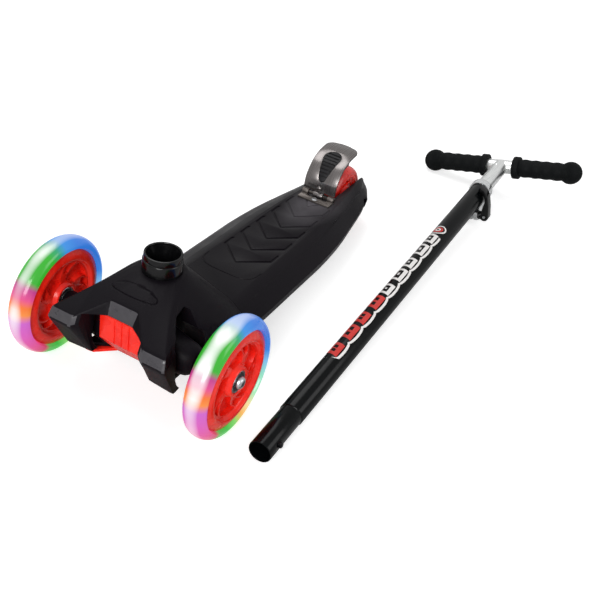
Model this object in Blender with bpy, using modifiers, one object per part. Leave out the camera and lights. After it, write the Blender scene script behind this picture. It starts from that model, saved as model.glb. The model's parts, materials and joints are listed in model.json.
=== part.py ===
"""Three-wheel kids scooter with its T-bar taken off and laid beside the deck.

Units are metres, +Z is up and the scooter's front faces -Y. Left and right are as seen from the front:
left pieces lie towards -X and right pieces towards +X. The deck unit is drawn in a frame on the floor
under the middle of the front axle. The T-bar is drawn upright in a frame of its own, whose origin is the
lower end of its tube, and that frame is then laid on the floor.
"""
import math

import bmesh
import bpy
import numpy as np
from mathutils import Matrix, Vector

# Driving dimensions of the wheels
FRONT_WHEEL_RADIUS = 0.060
FRONT_TYRE_WIDTH = 0.024
FRONT_CORE_RADIUS = 0.0490
HALF_TRACK = 0.0977
REAR_WHEEL_RADIUS = 0.038
REAR_TYRE_WIDTH = 0.022
REAR_CORE_RADIUS = 0.0285
WHEELBASE = 0.409
TYRE_CROWN = 0.011
TYRE_SIDE_WALL = 0.0015
TYRE_SHOULDER = 0.0030
SPOKE_COUNT = 5
SPOKE_WIDTH = 0.0070
SPOKE_CURL = 0.35
POCKET_STEPS = 3
WEB_THICKNESS = 0.0150
POCKET_DEPTH = 0.0055
RIM_SHARE = 0.32
RIM_SLOPE = 0.0036
HUB_RADIUS = 0.0145
LED_RING_WIDTH = 0.0040
LED_RING_DEPTH = 0.0016

# Driving dimensions of the bearings and axles
BEARING_RADIUS = 0.011
BEARING_BORE = 0.0040
BEARING_WIDTH = 0.007
BEARING_INSET = 0.0010
AXLE_RADIUS = 0.0037
AXLE_HEAD_RADIUS = 0.0062
AXLE_HEAD_HEIGHT = 0.0045
AXLE_THREAD_LENGTH = 0.022
SLEEVE_WALL = 0.0018
NUT_HEIGHT = 0.0060
NUT_SIDES = 6
FIT_GAP = 0.0003

# Driving dimensions of the deck
DECK_TOP = 0.057
DECK_BOTTOM = 0.027
DECK_HALF_WIDTH = 0.0635
DECK_FRONT = 0.038
TAIL_OVERHANG = 0.031
DECK_TAIL = WHEELBASE + TAIL_OVERHANG
DECK_WALL = 0.0045
DECK_RIB = 0.0040
DECK_POCKETS = 6
DECK_STATIONS = 18
SHOULDER_DROP = 0.0150
BORDER_STEP = 0.0015
WHEEL_SLOT_HALF_WIDTH = 0.0150
WHEEL_SLOT_GAP = 0.0090
WHEEL_SLOT_FRONT = WHEELBASE - REAR_WHEEL_RADIUS - WHEEL_SLOT_GAP
AXLE_POCKET = 0.012
CHEVRON_COUNT = 6
CHEVRON_FIRST = 0.167
CHEVRON_PITCH = 0.0315
CHEVRON_HALF_WIDTH = 0.030
CHEVRON_SWEEP = 0.025
CHEVRON_TURN = 0.016
GROOVE_WIDTH = 0.0026
GROOVE_DEPTH = 0.0010

# Driving dimensions of the hood and its socket
HOOD_TOP = 0.1165
CROWN_RADIUS = 0.0235
SHOULDER_HALF_WIDTH = 0.0330
HOOD_NOTCH_TOP = 0.104
HOOD_NOTCH_FOOT = 0.091
HOOD_CLAW_TOP = 0.089
HOOD_CLAW_LIP = 0.079
HOOD_CLAW_BOTTOM = 0.039
HOOD_FRONT = 0.053
HOOD_REAR = 0.108
HOOD_WALL = 0.0050
HOOD_CAVITY_TOP = 0.0915
ARM_CAVITY_RADIUS = 0.028
ARCH_FRONT = -0.0260
ARCH_REAR = 0.0170
ARCH_TOP = 0.1030
ARCH_INNER = 0.030
SOCKET_Y = 0.030
SOCKET_TOP = 0.135
SOCKET_STEP = 0.129
SOCKET_DEPTH = 0.057
SOCKET_WALL = 0.0034
SOCKET_FLANGE = 0.0180
MOUTH_RADIUS = 0.0160
MOUTH_LIP = 0.0025
MOUTH_END = 0.0085
COLLAR_RADIUS = 0.0190
COLLAR_SINK = 0.006
BOSS_OUTER = 0.0245
CUP_WALL = 0.0030
SCREW_BLOCK_HALF = 0.0170
SCREW_RADIUS = 0.0020
SCREW_HEAD_RADIUS = 0.0040
SCREW_HEAD_HEIGHT = 0.0025
SCREW_GRIP = 0.0050

# Driving dimensions of the steering truck
PIVOT_Y = 0.006
KINGPIN_RAKE = math.radians(30.0)
KINGPIN_RADIUS = 0.0050
KINGPIN_TOP = 0.045
KINGPIN_HEAD_RADIUS = 0.0095
KINGPIN_HEAD_HEIGHT = 0.0065
BUSH_RADIUS = 0.0120
UPPER_BUSH_HEIGHT = 0.0120
LOWER_BUSH_HEIGHT = 0.0060
TRUCK_HALF_WIDTH = 0.0250
TRUCK_HALF_DEPTH = 0.0220
TRUCK_HALF_HEIGHT = 0.0265
TRUCK_MIDDLE_Z = 0.061
TRUCK_MIDDLE_Y = -0.0015
TRUCK_FRONT_TAPER = 0.97
WING_HALF_WIDTH = 0.0470
WING_FRONT = -0.0160
WING_REAR = 0.0060
WING_ROOT = 0.0050
WING_THICKNESS = 0.0040
UPPER_SEAT = 0.0200
LOWER_SEAT = -0.0170
SEAT_CLEARANCE = 0.0012
SOCKET_CLEARANCE = 0.0058
BOSS_CLEARANCE = 0.0004
AXLE_BOSS_END = HALF_TRACK - FRONT_TYRE_WIDTH / 2 + BEARING_INSET - FIT_GAP - BOSS_CLEARANCE
CAVITY_CLEARANCE = 0.0075
BOSS_LENGTH = 0.0200
ARM_END = AXLE_BOSS_END - BOSS_LENGTH
ARM_WRIST = ARM_END - 0.0070
ARM_ELBOW = ARM_END - 0.0210
HOOD_SKIRT = ARM_END + 0.0008
HOOD_CLAW_OUTER = ARM_END - 0.0010
ARM_END_RADIUS = 0.0115
BOSS_RADIUS = 0.0095
COVER_THICKNESS = 0.0030
COVER_GROOVES = 3
COVER_GROOVE_PITCH = 0.0080
COVER_GROOVE_WIDTH = 0.0016
COVER_GROOVE_DEPTH = 0.0012
CHIN_HALF_WIDTH = 0.045
CHIN_FRONT = -0.0205
CHIN_REAR = 0.0050
CHIN_WING = 0.0080
CHIN_ROOT = 0.0200
CHIN_THICKNESS = 0.0030

# Driving dimensions of the brake
BRAKE_WIDTH = 0.041
BRAKE_THICKNESS = 0.0020
HINGE_SETBACK = 0.0120
BRAKE_HINGE_Y = WHEEL_SLOT_FRONT - HINGE_SETBACK
BRAKE_HINGE_Z = 0.0616
BRAKE_TOP = 0.1055
BRAKE_REACH = 0.055
BRAKE_END = BRAKE_HINGE_Y + BRAKE_REACH
BRAKE_CORNER = 0.012
BRAKE_BULGE = 0.0020
KNUCKLE_RADIUS = 0.0036
BRAKE_PIN_RADIUS = 0.0020
PLATE_KNUCKLE_HALF = 0.0060
FOOT_KNUCKLE_INNER = 0.0130
FOOT_LENGTH = 0.0130
FOOT_THICKNESS = 0.0020
FOOT_SCREW_SETBACK = 0.0095
FOOT_SCREW_Y = BRAKE_HINGE_Y - FOOT_SCREW_SETBACK
FOOT_SCREW_LENGTH = 0.0120
PAD_HALF_WIDTH = 0.0095
PAD_GAP = 0.0090
PAD_TONGUE = 0.0025
PEAR_FOOT_Y = 0.0043
PEAR_FOOT_Z = 0.0134
PEAR_CUT = 0.030
PEAR_LENGTH = 0.0425
PEAR_HALF_WIDTH = 0.0108
RIVET_Z = 0.0705
RIVET_RADIUS = 0.0032
RIVET_SHANK = 0.0015
SPRING_TURNS = 3.25
SPRING_PITCH = 0.00145
SPRING_RADIUS = 0.0029
SPRING_WIRE = 0.0005
SPRING_START = 0.0072

# Driving dimensions of the T-bar
TUBE_RADIUS = 0.0124
TUBE_WALL = 0.0010
TUBE_TOP = 0.576
PLUG_RADIUS = 0.0116
STEM_RADIUS = 0.0103
STEM_WALL = 0.0012
STEM_FOOT = 0.472
BAR_RADIUS = 0.0092
BAR_WALL = 0.0012
BAR_HEIGHT = 0.659
BAR_HALF_LENGTH = 0.088
STEM_GROOVE_WIDTH = 0.0026
STEM_GROOVE_DEPTH = 0.0008
GRIP_CENTRES = 0.189
BALL_RADIUS = 0.0150
GRIP_RADIUS = 0.0119
GRIP_WAVE = 0.0006
GRIP_WAVES = 4
GRIP_INNER = 0.0175
FLANGE_RADIUS = 0.0150
FLANGE_WIDTH = 0.0090
COLLAR_FOOT = 0.570
COLLAR_HEIGHT = 0.0130
COLLAR_WALL = 0.0016
EAR_THICKNESS = 0.0050
EAR_SLIT = 0.0030
EAR_BOTTOM = 0.5435
EAR_HEIGHT = 0.0270
EAR_ROUND = 0.0055
CLAMP_BOLT_RADIUS = 0.0030
CLAMP_BOLT_Y = 0.0235
LEVER_Z = 0.553
WASHER_THICKNESS = 0.0015
CAM_RADIUS = 0.0055
LEVER_WIDTH = 0.0110
LEVER_THICKNESS = 0.0040
LEVER_GAP = 0.0012
LEVER_WRAP = math.radians(62.0)
LEVER_PIN_RADIUS = 0.0018
CLAMP_NUT_RADIUS = 0.0075
CLAMP_NUT_HEIGHT = 0.0120
BOLT_EYE = 0.0035
BOLT_EYE_CHAMFER = 0.0014
BUSHING_LENGTH = 0.050
BUSHING_LIP = 0.0025
BUTTON_HEIGHT = 0.0160
BUTTON_RADIUS = 0.0032
BUTTON_PROUD = 0.0030
BUTTON_HEAD = 0.0044
BUTTON_FLANGE = 0.0012
CLIP_WIDTH = 0.0060
CLIP_THICKNESS = 0.0008
CLIP_LENGTH = 0.0320

# Place of the T-bar on the floor
TBAR_X = 0.1481
TBAR_Y = -0.0174
TBAR_YAW = math.radians(1.3)

# Counts of sides
WHEEL_SIDES = 32
ROUND_SIDES = 24
SMALL_SIDES = 16
MERGE = 0.00001
OUTLINE_ENLARGED = 1000.0

# Colours
BLACK_PLASTIC = (0.015, 0.013, 0.016)
RED_PLASTIC = (0.80, 0.03, 0.02)
CLEAR_TYRE = (0.75, 0.85, 0.95)
STEEL = (0.60, 0.60, 0.60)
ALUMINIUM = (0.78, 0.79, 0.78)
BLACK_PAINT = (0.006, 0.006, 0.007)
RUBBER = (0.012, 0.012, 0.013)
WHITE_PLASTIC = (0.85, 0.85, 0.85)


def clear_scene():
    for old in list(bpy.data.objects):
        bpy.data.objects.remove(old, do_unlink=True)


def new_collection(name):
    collection = bpy.data.collections.new(name)
    bpy.context.scene.collection.children.link(collection)
    return collection


clear_scene()
PARTS = new_collection("three_wheel_scooter")
CUTTERS = new_collection("cutters")


def finish(name, colour, roughness, metallic=0.0, transmission=0.0):
    made = bpy.data.materials.new(name)
    made.use_nodes = True
    shader = made.node_tree.nodes["Principled BSDF"]
    shader.inputs["Base Color"].default_value = (*colour, 1.0)
    shader.inputs["Roughness"].default_value = roughness
    shader.inputs["Metallic"].default_value = metallic
    shader.inputs["Transmission Weight"].default_value = transmission
    return made


FINISHES = {
    "black_plastic": finish("black_plastic", BLACK_PLASTIC, 0.55),
    "red_plastic": finish("red_plastic", RED_PLASTIC, 0.25),
    "clear_tyre": finish("clear_tyre", CLEAR_TYRE, 0.15, transmission=0.6),
    "red_tyre": finish("red_tyre", RED_PLASTIC, 0.30),
    "steel": finish("steel", STEEL, 0.30, metallic=1.0),
    "aluminium": finish("aluminium", ALUMINIUM, 0.25, metallic=1.0),
    "black_paint": finish("black_paint", BLACK_PAINT, 0.15),
    "rubber": finish("rubber", RUBBER, 0.70),
    "white_plastic": finish("white_plastic", WHITE_PLASTIC, 0.50),
}


class Frame:
    """A drawing frame: pieces are placed in it, whichever of its joint empties carries them."""

    def __init__(self, name):
        self.root = bpy.data.objects.new(name, None)
        PARTS.objects.link(self.root)
        self.carriers = {}

    def carrier(self, name, place):
        """An empty on a joint's axis, placed in this drawing frame."""
        empty = bpy.data.objects.new(name, None)
        PARTS.objects.link(empty)
        empty.parent = self.root
        empty.matrix_local = place
        self.carriers[name] = empty
        return empty

    def hold(self, piece, carrier=None):
        """Parent a piece so that its own location stays a place in this drawing frame."""
        if carrier is None:
            piece.parent = self.root
            return piece
        piece.parent = carrier
        piece.matrix_parent_inverse = carrier.matrix_basis.inverted()
        return piece


def keep(piece, finish_name):
    piece.data.materials.clear()
    piece.data.materials.append(FINISHES[finish_name])
    PARTS.objects.link(piece)
    return piece


def guide(piece):
    piece.hide_render = True
    piece.display_type = "WIRE"
    CUTTERS.objects.link(piece)
    return piece


def place(piece, location=(0, 0, 0), rotation=(0, 0, 0)):
    piece.location = location
    piece.rotation_euler = rotation
    return piece


def mesh_object(name, build):
    work = bmesh.new()
    build(work)
    mesh = bpy.data.meshes.new(name)
    work.to_mesh(mesh)
    work.free()
    return bpy.data.objects.new(name, mesh)


def turned(name, profile, steps, closed=False):
    """A profile of (radius, height) points turned about local Z, its outer side running downwards."""
    mesh = bpy.data.meshes.new(name)
    edges = [(i, i + 1) for i in range(len(profile) - 1)]
    if closed:
        edges.append((len(profile) - 1, 0))
    mesh.from_pydata([(radius, 0.0, height) for radius, height in profile], edges, [])
    piece = bpy.data.objects.new(name, mesh)
    screw = piece.modifiers.new("turn", "SCREW")
    screw.axis = "Z"
    screw.angle = 2.0 * math.pi
    screw.steps = steps
    screw.render_steps = steps
    screw.use_merge_vertices = True
    screw.merge_threshold = MERGE
    screw.use_smooth_shade = True
    return piece


def ring(name, inner, outer, low, high, steps):
    return turned(name, [(outer, high), (outer, low), (inner, low), (inner, high)], steps, closed=True)


def rod(name, radius, low, high, steps):
    def build(work):
        bmesh.ops.create_cone(work, cap_ends=True, segments=steps, radius1=radius, radius2=radius,
                              depth=high - low, matrix=Matrix.Translation((0, 0, (low + high) / 2)))
    return mesh_object(name, build)


def box(name, low, high):
    size = [b - a for a, b in zip(low, high)]
    middle = [(a + b) / 2 for a, b in zip(low, high)]

    def build(work):
        stretch = Matrix.Translation(middle) @ Matrix.Diagonal((*size, 1.0))
        bmesh.ops.create_cube(work, size=1.0, matrix=stretch)
    return mesh_object(name, build)


def face_outwards(work):
    bmesh.ops.recalc_face_normals(work, faces=work.faces)
    if work.calc_volume(signed=True) < 0.0:
        bmesh.ops.reverse_faces(work, faces=work.faces)


def prism(name, outline, low, high):
    """A flat outline in local XY, filled and extruded between two heights.

    The outline is drawn enlarged, since the fill of a flat curve is too coarse for small steps in metres.
    """
    data = bpy.data.curves.new(name, "CURVE")
    data.dimensions = "2D"
    data.fill_mode = "BOTH"
    data.extrude = (high - low) / 2 * OUTLINE_ENLARGED
    spline = data.splines.new("POLY")
    spline.points.add(len(outline) - 1)
    for point, (x, y) in zip(spline.points, outline):
        point.co = (x * OUTLINE_ENLARGED, y * OUTLINE_ENLARGED, 0.0, 1.0)
    spline.use_cyclic_u = True
    drawn = bpy.data.objects.new(name + "_outline", data)
    bpy.context.scene.collection.objects.link(drawn)
    drawn.scale = (1.0 / OUTLINE_ENLARGED,) * 3
    drawn.location.z = (low + high) / 2
    bpy.context.view_layer.update()
    evaluated = drawn.evaluated_get(bpy.context.evaluated_depsgraph_get())
    mesh = bpy.data.meshes.new_from_object(evaluated)
    mesh.transform(drawn.matrix_world)
    bpy.data.objects.remove(drawn, do_unlink=True)
    work = bmesh.new()
    work.from_mesh(mesh)
    bmesh.ops.remove_doubles(work, verts=work.verts, dist=MERGE)
    face_outwards(work)
    work.to_mesh(mesh)
    work.free()
    mesh.name = name
    return bpy.data.objects.new(name, mesh)


def swept_prism(name, outline, low, high):
    """An outline of (y, z) points extruded along X between two places."""
    piece = prism(name, outline, low, high)
    # Local X, Y, Z of the prism become world Y, Z, X
    piece.data.transform(Matrix(((0, 0, 1, 0), (1, 0, 0, 0), (0, 1, 0, 0), (0, 0, 0, 1))))
    return piece


def loft(name, sections):
    """Closed rings of equally many points, bridged in order and capped at both ends."""
    def build(work):
        rings = [[work.verts.new(point) for point in section] for section in sections]
        count = len(rings[0])
        for first, second in zip(rings, rings[1:]):
            for i in range(count):
                j = (i + 1) % count
                work.faces.new((first[i], first[j], second[j], second[i]))
        work.faces.new(rings[0])
        work.faces.new(rings[-1])
        face_outwards(work)
    return mesh_object(name, build)


def boolean(piece, other, operation):
    step = piece.modifiers.new(operation.lower(), "BOOLEAN")
    step.operation = operation
    step.solver = "EXACT"
    step.object = other


def cut(piece, cutter):
    guide(cutter)
    boolean(piece, cutter, "DIFFERENCE")
    return cutter


def fuse(piece, other):
    guide(other)
    boolean(piece, other, "UNION")
    return other


def smooth_keys(keys, at):
    """A smooth curve through (place, value) keys, read at one place."""
    places = [key[0] for key in keys]
    values = [key[1] for key in keys]
    i = int(np.clip(np.searchsorted(places, at) - 1, 0, len(keys) - 2))
    span = places[i + 1] - places[i]
    t = min(max((at - places[i]) / span, 0.0), 1.0)

    def slope(k):
        low = max(k - 1, 0)
        high = min(k + 1, len(keys) - 1)
        return (values[high] - values[low]) / (places[high] - places[low]) * span
    a = 2 * t ** 3 - 3 * t ** 2 + 1
    b = t ** 3 - 2 * t ** 2 + t
    c = -2 * t ** 3 + 3 * t ** 2
    d = t ** 3 - t ** 2
    return a * values[i] + b * slope(i) + c * values[i + 1] + d * slope(i + 1)


SCOOTER = Frame("scooter")
TBAR = Frame("t_bar")
DETENT_Z = SOCKET_TOP - SOCKET_DEPTH + BUTTON_HEIGHT


# Wheels

def tyre_profile(radius, width, bore):
    """Half-round tread over walls that draw in to the core, down the outer side and back up the bore."""
    half = width / 2
    crown = min(TYRE_CROWN, radius - bore - TYRE_SIDE_WALL)
    points = [(bore, half - TYRE_SHOULDER), (radius - crown, half)]
    for i in range(1, 8):
        angle = math.pi / 2 - i * math.pi / 8
        points.append((radius - crown + crown * math.cos(angle), half * math.sin(angle)))
    points += [(radius - crown, -half), (bore, -half + TYRE_SHOULDER)]
    return points


def core_outline(inner, outer, centre, reach):
    """One sector-shaped pocket between two curved spokes."""
    edge = SPOKE_WIDTH / 2

    def at(side, along):
        radius = inner + (outer - inner) * along
        swing = centre + side * (reach - edge / radius) + SPOKE_CURL * along ** 2
        return radius, swing
    path = [at(-1, i / POCKET_STEPS) for i in range(POCKET_STEPS)]
    for i in range(POCKET_STEPS):
        path.append((outer, at(-1, 1.0)[1] + (at(1, 1.0)[1] - at(-1, 1.0)[1]) * i / POCKET_STEPS))
    path += [at(1, 1.0 - i / POCKET_STEPS) for i in range(POCKET_STEPS)]
    for i in range(POCKET_STEPS):
        path.append((inner, at(1, 0.0)[1] + (at(-1, 0.0)[1] - at(1, 0.0)[1]) * i / POCKET_STEPS))
    return [(radius * math.cos(swing), radius * math.sin(swing)) for radius, swing in path]


def build_wheel(side, place_matrix, carrier, radius, width, core_radius, tyre_finish, glowing):
    """Core, tyre, two bearings and the sleeve between them; local +Z points outwards."""
    location, rotation = place_matrix
    half = width / 2
    seat = half - BEARING_INSET - BEARING_WIDTH
    bore = BEARING_RADIUS + FIT_GAP
    sleeve_bore = AXLE_RADIUS + 2.0 * FIT_GAP + SLEEVE_WALL + FIT_GAP
    web = WEB_THICKNESS / 2
    rim_inner = core_radius - RIM_SHARE * (core_radius - HUB_RADIUS)
    profile = [
        (HUB_RADIUS, half), (HUB_RADIUS, web), (rim_inner, web), (rim_inner, half - FIT_GAP),
        (core_radius, half - RIM_SLOPE),
    ]
    groove_floor = core_radius - LED_RING_DEPTH - FIT_GAP
    groove_half = LED_RING_WIDTH / 2 + FIT_GAP
    if glowing:
        profile += [(core_radius, groove_half), (groove_floor, groove_half),
                    (groove_floor, -groove_half), (core_radius, -groove_half)]
    profile += [
        (core_radius, -half + RIM_SLOPE), (rim_inner, -half + FIT_GAP), (rim_inner, -web),
        (HUB_RADIUS, -web), (HUB_RADIUS, -half), (bore, -half), (bore, -seat), (sleeve_bore, -seat),
        (sleeve_bore, seat), (bore, seat), (bore, half),
    ]
    core = turned(side + "_core", profile, ROUND_SIDES, closed=True)
    for i in range(SPOKE_COUNT):
        outline = core_outline(HUB_RADIUS + 0.002, rim_inner - 0.0015, 2 * math.pi * i / SPOKE_COUNT,
                               math.pi / SPOKE_COUNT)
        pocket = prism("%s_pocket_%d" % (side, i), outline, web - POCKET_DEPTH, web + POCKET_DEPTH)
        cut(core, place(SCOOTER.hold(pocket, carrier), location, rotation))
    pieces = [(core, "red_plastic")]
    pieces.append((turned(side + "_tyre", tyre_profile(radius, width, core_radius + FIT_GAP),
                          WHEEL_SIDES, closed=True), tyre_finish))
    for face, low in (("outer", seat + FIT_GAP), ("inner", -seat - FIT_GAP - BEARING_WIDTH)):
        pieces.append((ring("%s_%s_bearing" % (side, face), BEARING_BORE, BEARING_RADIUS, low,
                            low + BEARING_WIDTH, SMALL_SIDES), "steel"))
    sleeve_inner = AXLE_RADIUS + 2.0 * FIT_GAP
    pieces.append((ring(side + "_sleeve", sleeve_inner, sleeve_inner + SLEEVE_WALL, -seat, seat,
                        SMALL_SIDES), "aluminium"))
    if glowing:
        pieces.append((ring(side + "_led_ring", core_radius - LED_RING_DEPTH, core_radius,
                            -LED_RING_WIDTH / 2, LED_RING_WIDTH / 2, WHEEL_SIDES), "white_plastic"))
    for piece, name in pieces:
        keep(place(SCOOTER.hold(piece, carrier), location, rotation), name)


def build_front_wheels():
    for side, sign in (("left", -1), ("right", 1)):
        centre = (sign * HALF_TRACK, 0.0, FRONT_WHEEL_RADIUS)
        outwards = (0.0, sign * math.pi / 2, 0.0)
        carrier = SCOOTER.carrier(side + "_wheel_axis", Matrix.Translation(centre))
        build_wheel(side, (centre, outwards), carrier, FRONT_WHEEL_RADIUS, FRONT_TYRE_WIDTH,
                    FRONT_CORE_RADIUS, "clear_tyre", True)


def build_rear_wheel():
    centre = (0.0, WHEELBASE, REAR_WHEEL_RADIUS)
    carrier = SCOOTER.carrier("rear_wheel_axis", Matrix.Translation(centre))
    build_wheel("rear", (centre, (0.0, math.pi / 2, 0.0)), carrier, REAR_WHEEL_RADIUS, REAR_TYRE_WIDTH,
                REAR_CORE_RADIUS, "red_tyre", False)


# Axles

def build_front_axles():
    """A bolt through each front wheel, screwed into the end of the truck's arm."""
    head_seat = FRONT_TYRE_WIDTH / 2 - BEARING_INSET + 2.0 * FIT_GAP
    for side, sign in (("left", -1), ("right", 1)):
        location = (sign * HALF_TRACK, 0.0, FRONT_WHEEL_RADIUS)
        rotation = (0.0, sign * math.pi / 2, 0.0)
        tip = -(FRONT_TYRE_WIDTH / 2 + AXLE_THREAD_LENGTH)
        top = head_seat + AXLE_HEAD_HEIGHT
        profile = [(0.0, top), (AXLE_HEAD_RADIUS * 0.8, top),
                   (AXLE_HEAD_RADIUS, top - AXLE_HEAD_HEIGHT * 0.3), (AXLE_HEAD_RADIUS, head_seat),
                   (AXLE_RADIUS, head_seat), (AXLE_RADIUS, tip), (0.0, tip)]
        bolt = turned(side + "_axle_bolt", profile, SMALL_SIDES)
        keep(place(SCOOTER.hold(bolt, SCOOTER.carriers["truck_axis"]), location, rotation), "steel")


def build_rear_axle():
    """A bolt across the deck's tail, with a spacer on each side of the wheel and a nut."""
    centre = (0.0, WHEELBASE, REAR_WHEEL_RADIUS)
    across = (0.0, math.pi / 2, 0.0)
    cheek = deck_half_width(WHEELBASE) - AXLE_POCKET
    head_seat = cheek + FIT_GAP
    nut_seat = -cheek - FIT_GAP
    tip = nut_seat - NUT_HEIGHT - 0.001
    profile = [(0.0, head_seat + AXLE_HEAD_HEIGHT), (AXLE_HEAD_RADIUS, head_seat + AXLE_HEAD_HEIGHT),
               (AXLE_HEAD_RADIUS, head_seat), (AXLE_RADIUS, head_seat), (AXLE_RADIUS, tip), (0.0, tip)]
    bolt = turned("rear_axle_bolt", profile, SMALL_SIDES)
    keep(place(SCOOTER.hold(bolt), centre, across), "steel")
    nut_bore = (AXLE_RADIUS + FIT_GAP) / math.cos(math.pi / NUT_SIDES)
    nut = ring("rear_axle_nut", nut_bore, AXLE_HEAD_RADIUS, nut_seat - NUT_HEIGHT, nut_seat, NUT_SIDES)
    keep(place(SCOOTER.hold(nut), centre, across), "steel")
    bearing_face = REAR_TYRE_WIDTH / 2 - BEARING_INSET + FIT_GAP
    for side, sign in (("left", -1), ("right", 1)):
        low = bearing_face + FIT_GAP
        high = WHEEL_SLOT_HALF_WIDTH - FIT_GAP
        spacer = ring("rear_%s_spacer" % side, AXLE_RADIUS + FIT_GAP, AXLE_HEAD_RADIUS, low, high,
                      SMALL_SIDES)
        keep(place(SCOOTER.hold(spacer), centre, (0.0, sign * math.pi / 2, 0.0)), "aluminium")


# Deck

DECK_WIDTH_KEYS = [(0.0, 0.76), (0.055, 0.88), (0.15, 0.98), (0.21, 1.0), (0.35, 0.985), (0.53, 0.965),
                   (0.66, 0.90), (0.76, 0.80), (0.85, 0.70), (0.93, 0.60), (0.97, 0.51), (1.0, 0.39)]


def deck_half_width(y):
    share = (y - DECK_FRONT) / (DECK_TAIL - DECK_FRONT)
    return DECK_HALF_WIDTH * smooth_keys(DECK_WIDTH_KEYS, share)


def deck_section(y, grow=0.0):
    """A closed ring across the deck: crowned top, stepped border, sloping shoulder, upright skirt."""
    width = deck_half_width(y) + grow
    top = DECK_TOP + grow
    low = DECK_BOTTOM - grow
    step = 0.0 if grow else BORDER_STEP
    half = [(0.0, top), (0.54 * width, top), (0.70 * width, top - 0.0035),
            (0.72 * width, top - 0.0040 - step), (0.90 * width, top - 0.0095 - step),
            (width, top - SHOULDER_DROP), (width - 0.0015, low + 0.006), (width - 0.006, low)]
    ring_points = [(x, y, z) for x, z in half] + [(-x, y, z) for x, z in reversed(half[1:])]
    return ring_points


def deck_stations():
    return [DECK_FRONT + (DECK_TAIL - DECK_FRONT) * i / (DECK_STATIONS - 1) for i in range(DECK_STATIONS)]


def pocket_section(y, centre_rib):
    """Half of the hollow under the deck, one wall in from the skin and open below."""
    width = deck_half_width(y) - DECK_WALL * 1.3
    top = DECK_TOP - DECK_WALL
    below = DECK_BOTTOM - 0.005
    half = [(centre_rib, top), (0.54 * width, top), (0.88 * width, top - 0.0110),
            (width - 0.001, top - SHOULDER_DROP), (width - 0.004, below), (centre_rib, below)]
    return [(x, y, z) for x, z in half]


def chevron(apex, half_width, turn):
    """A V groove, its point towards the front and its ends turned straight back, as a closed outline."""
    path = [(-half_width, apex + CHEVRON_SWEEP + turn), (-half_width, apex + CHEVRON_SWEEP), (0.0, apex),
            (half_width, apex + CHEVRON_SWEEP), (half_width, apex + CHEVRON_SWEEP + turn)]
    near = [(x, y - GROOVE_WIDTH / 2) for x, y in path]
    far = [(x * (1.0 - GROOVE_WIDTH / half_width), y + GROOVE_WIDTH / 2) for x, y in path]
    return near + far[::-1]


def build_deck():
    deck = loft("deck", [deck_section(y) for y in deck_stations()])
    pocket_front = DECK_FRONT + DECK_WALL
    pocket_rear = WHEEL_SLOT_FRONT - DECK_WALL * 3.0
    pitch = (pocket_rear - pocket_front) / DECK_POCKETS
    for i in range(DECK_POCKETS):
        first = pocket_front + i * pitch + DECK_RIB / 2
        last = pocket_front + (i + 1) * pitch - DECK_RIB / 2
        for side, sign in (("left", -1), ("right", 1)):
            sections = []
            for k in range(4):
                points = pocket_section(first + (last - first) * k / 3, DECK_RIB / 2)
                sections.append([(sign * x, y, z) for x, y, z in points])
            pocket = loft("deck_pocket_%s_%d" % (side, i), sections)
            cut(deck, SCOOTER.hold(pocket))
    slot = box("rear_wheel_slot", (-WHEEL_SLOT_HALF_WIDTH, WHEEL_SLOT_FRONT, 0.0),
               (WHEEL_SLOT_HALF_WIDTH, DECK_TAIL + 0.05, DECK_TOP + 0.02))
    cut(deck, SCOOTER.hold(slot))
    axle_hole = rod("rear_axle_hole", AXLE_RADIUS + FIT_GAP, -DECK_HALF_WIDTH, DECK_HALF_WIDTH, SMALL_SIDES)
    cut(deck, place(SCOOTER.hold(axle_hole), (0.0, WHEELBASE, REAR_WHEEL_RADIUS), (0.0, math.pi / 2, 0.0)))
    cheek = deck_half_width(WHEELBASE) - AXLE_POCKET
    for side, sign in (("left", -1), ("right", 1)):
        recess = rod("axle_recess_" + side, AXLE_HEAD_RADIUS + 0.0015, cheek, DECK_HALF_WIDTH, SMALL_SIDES)
        cut(deck, place(SCOOTER.hold(recess), (0.0, WHEELBASE, REAR_WHEEL_RADIUS),
                        (0.0, sign * math.pi / 2, 0.0)))
    for i in range(CHEVRON_COUNT):
        last = i == CHEVRON_COUNT - 1
        half_width = CHEVRON_HALF_WIDTH * (0.55 if last else 1.0 - 0.035 * i)
        outline = chevron(CHEVRON_FIRST + i * CHEVRON_PITCH, half_width, 0.004 if last else CHEVRON_TURN)
        groove = prism("chevron_%d" % i, outline, DECK_TOP - GROOVE_DEPTH, DECK_TOP + GROOVE_DEPTH)
        cut(deck, SCOOTER.hold(groove))
    for i, (x, y) in enumerate(screw_places()):
        hole = rod("deck_screw_hole_%d" % i, SCREW_RADIUS + FIT_GAP, DECK_BOTTOM, DECK_TOP + 0.01,
                   SMALL_SIDES)
        cut(deck, place(SCOOTER.hold(hole), (x, y, 0.0)))
        recess = rod("deck_screw_recess_%d" % i, SCREW_HEAD_RADIUS + FIT_GAP, DECK_BOTTOM - 0.01,
                     DECK_TOP - DECK_WALL, SMALL_SIDES)
        cut(deck, place(SCOOTER.hold(recess), (x, y, 0.0)))
    hole = rod("foot_screw_hole", SCREW_RADIUS + FIT_GAP, DECK_TOP - FOOT_SCREW_LENGTH, DECK_TOP + 0.01,
               SMALL_SIDES)
    cut(deck, place(SCOOTER.hold(hole), (0.0, FOOT_SCREW_Y, 0.0)))
    keep(SCOOTER.hold(deck), "black_plastic")


def screw_places():
    """Two screws into the socket's boss and two near the hood's rear edge."""
    inner = SOCKET_Y + BOSS_OUTER * 0.72
    rear = HOOD_REAR - 0.017
    return [(-0.0115, inner), (0.0115, inner), (-0.024, rear), (0.024, rear)]


# Hood and socket

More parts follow.
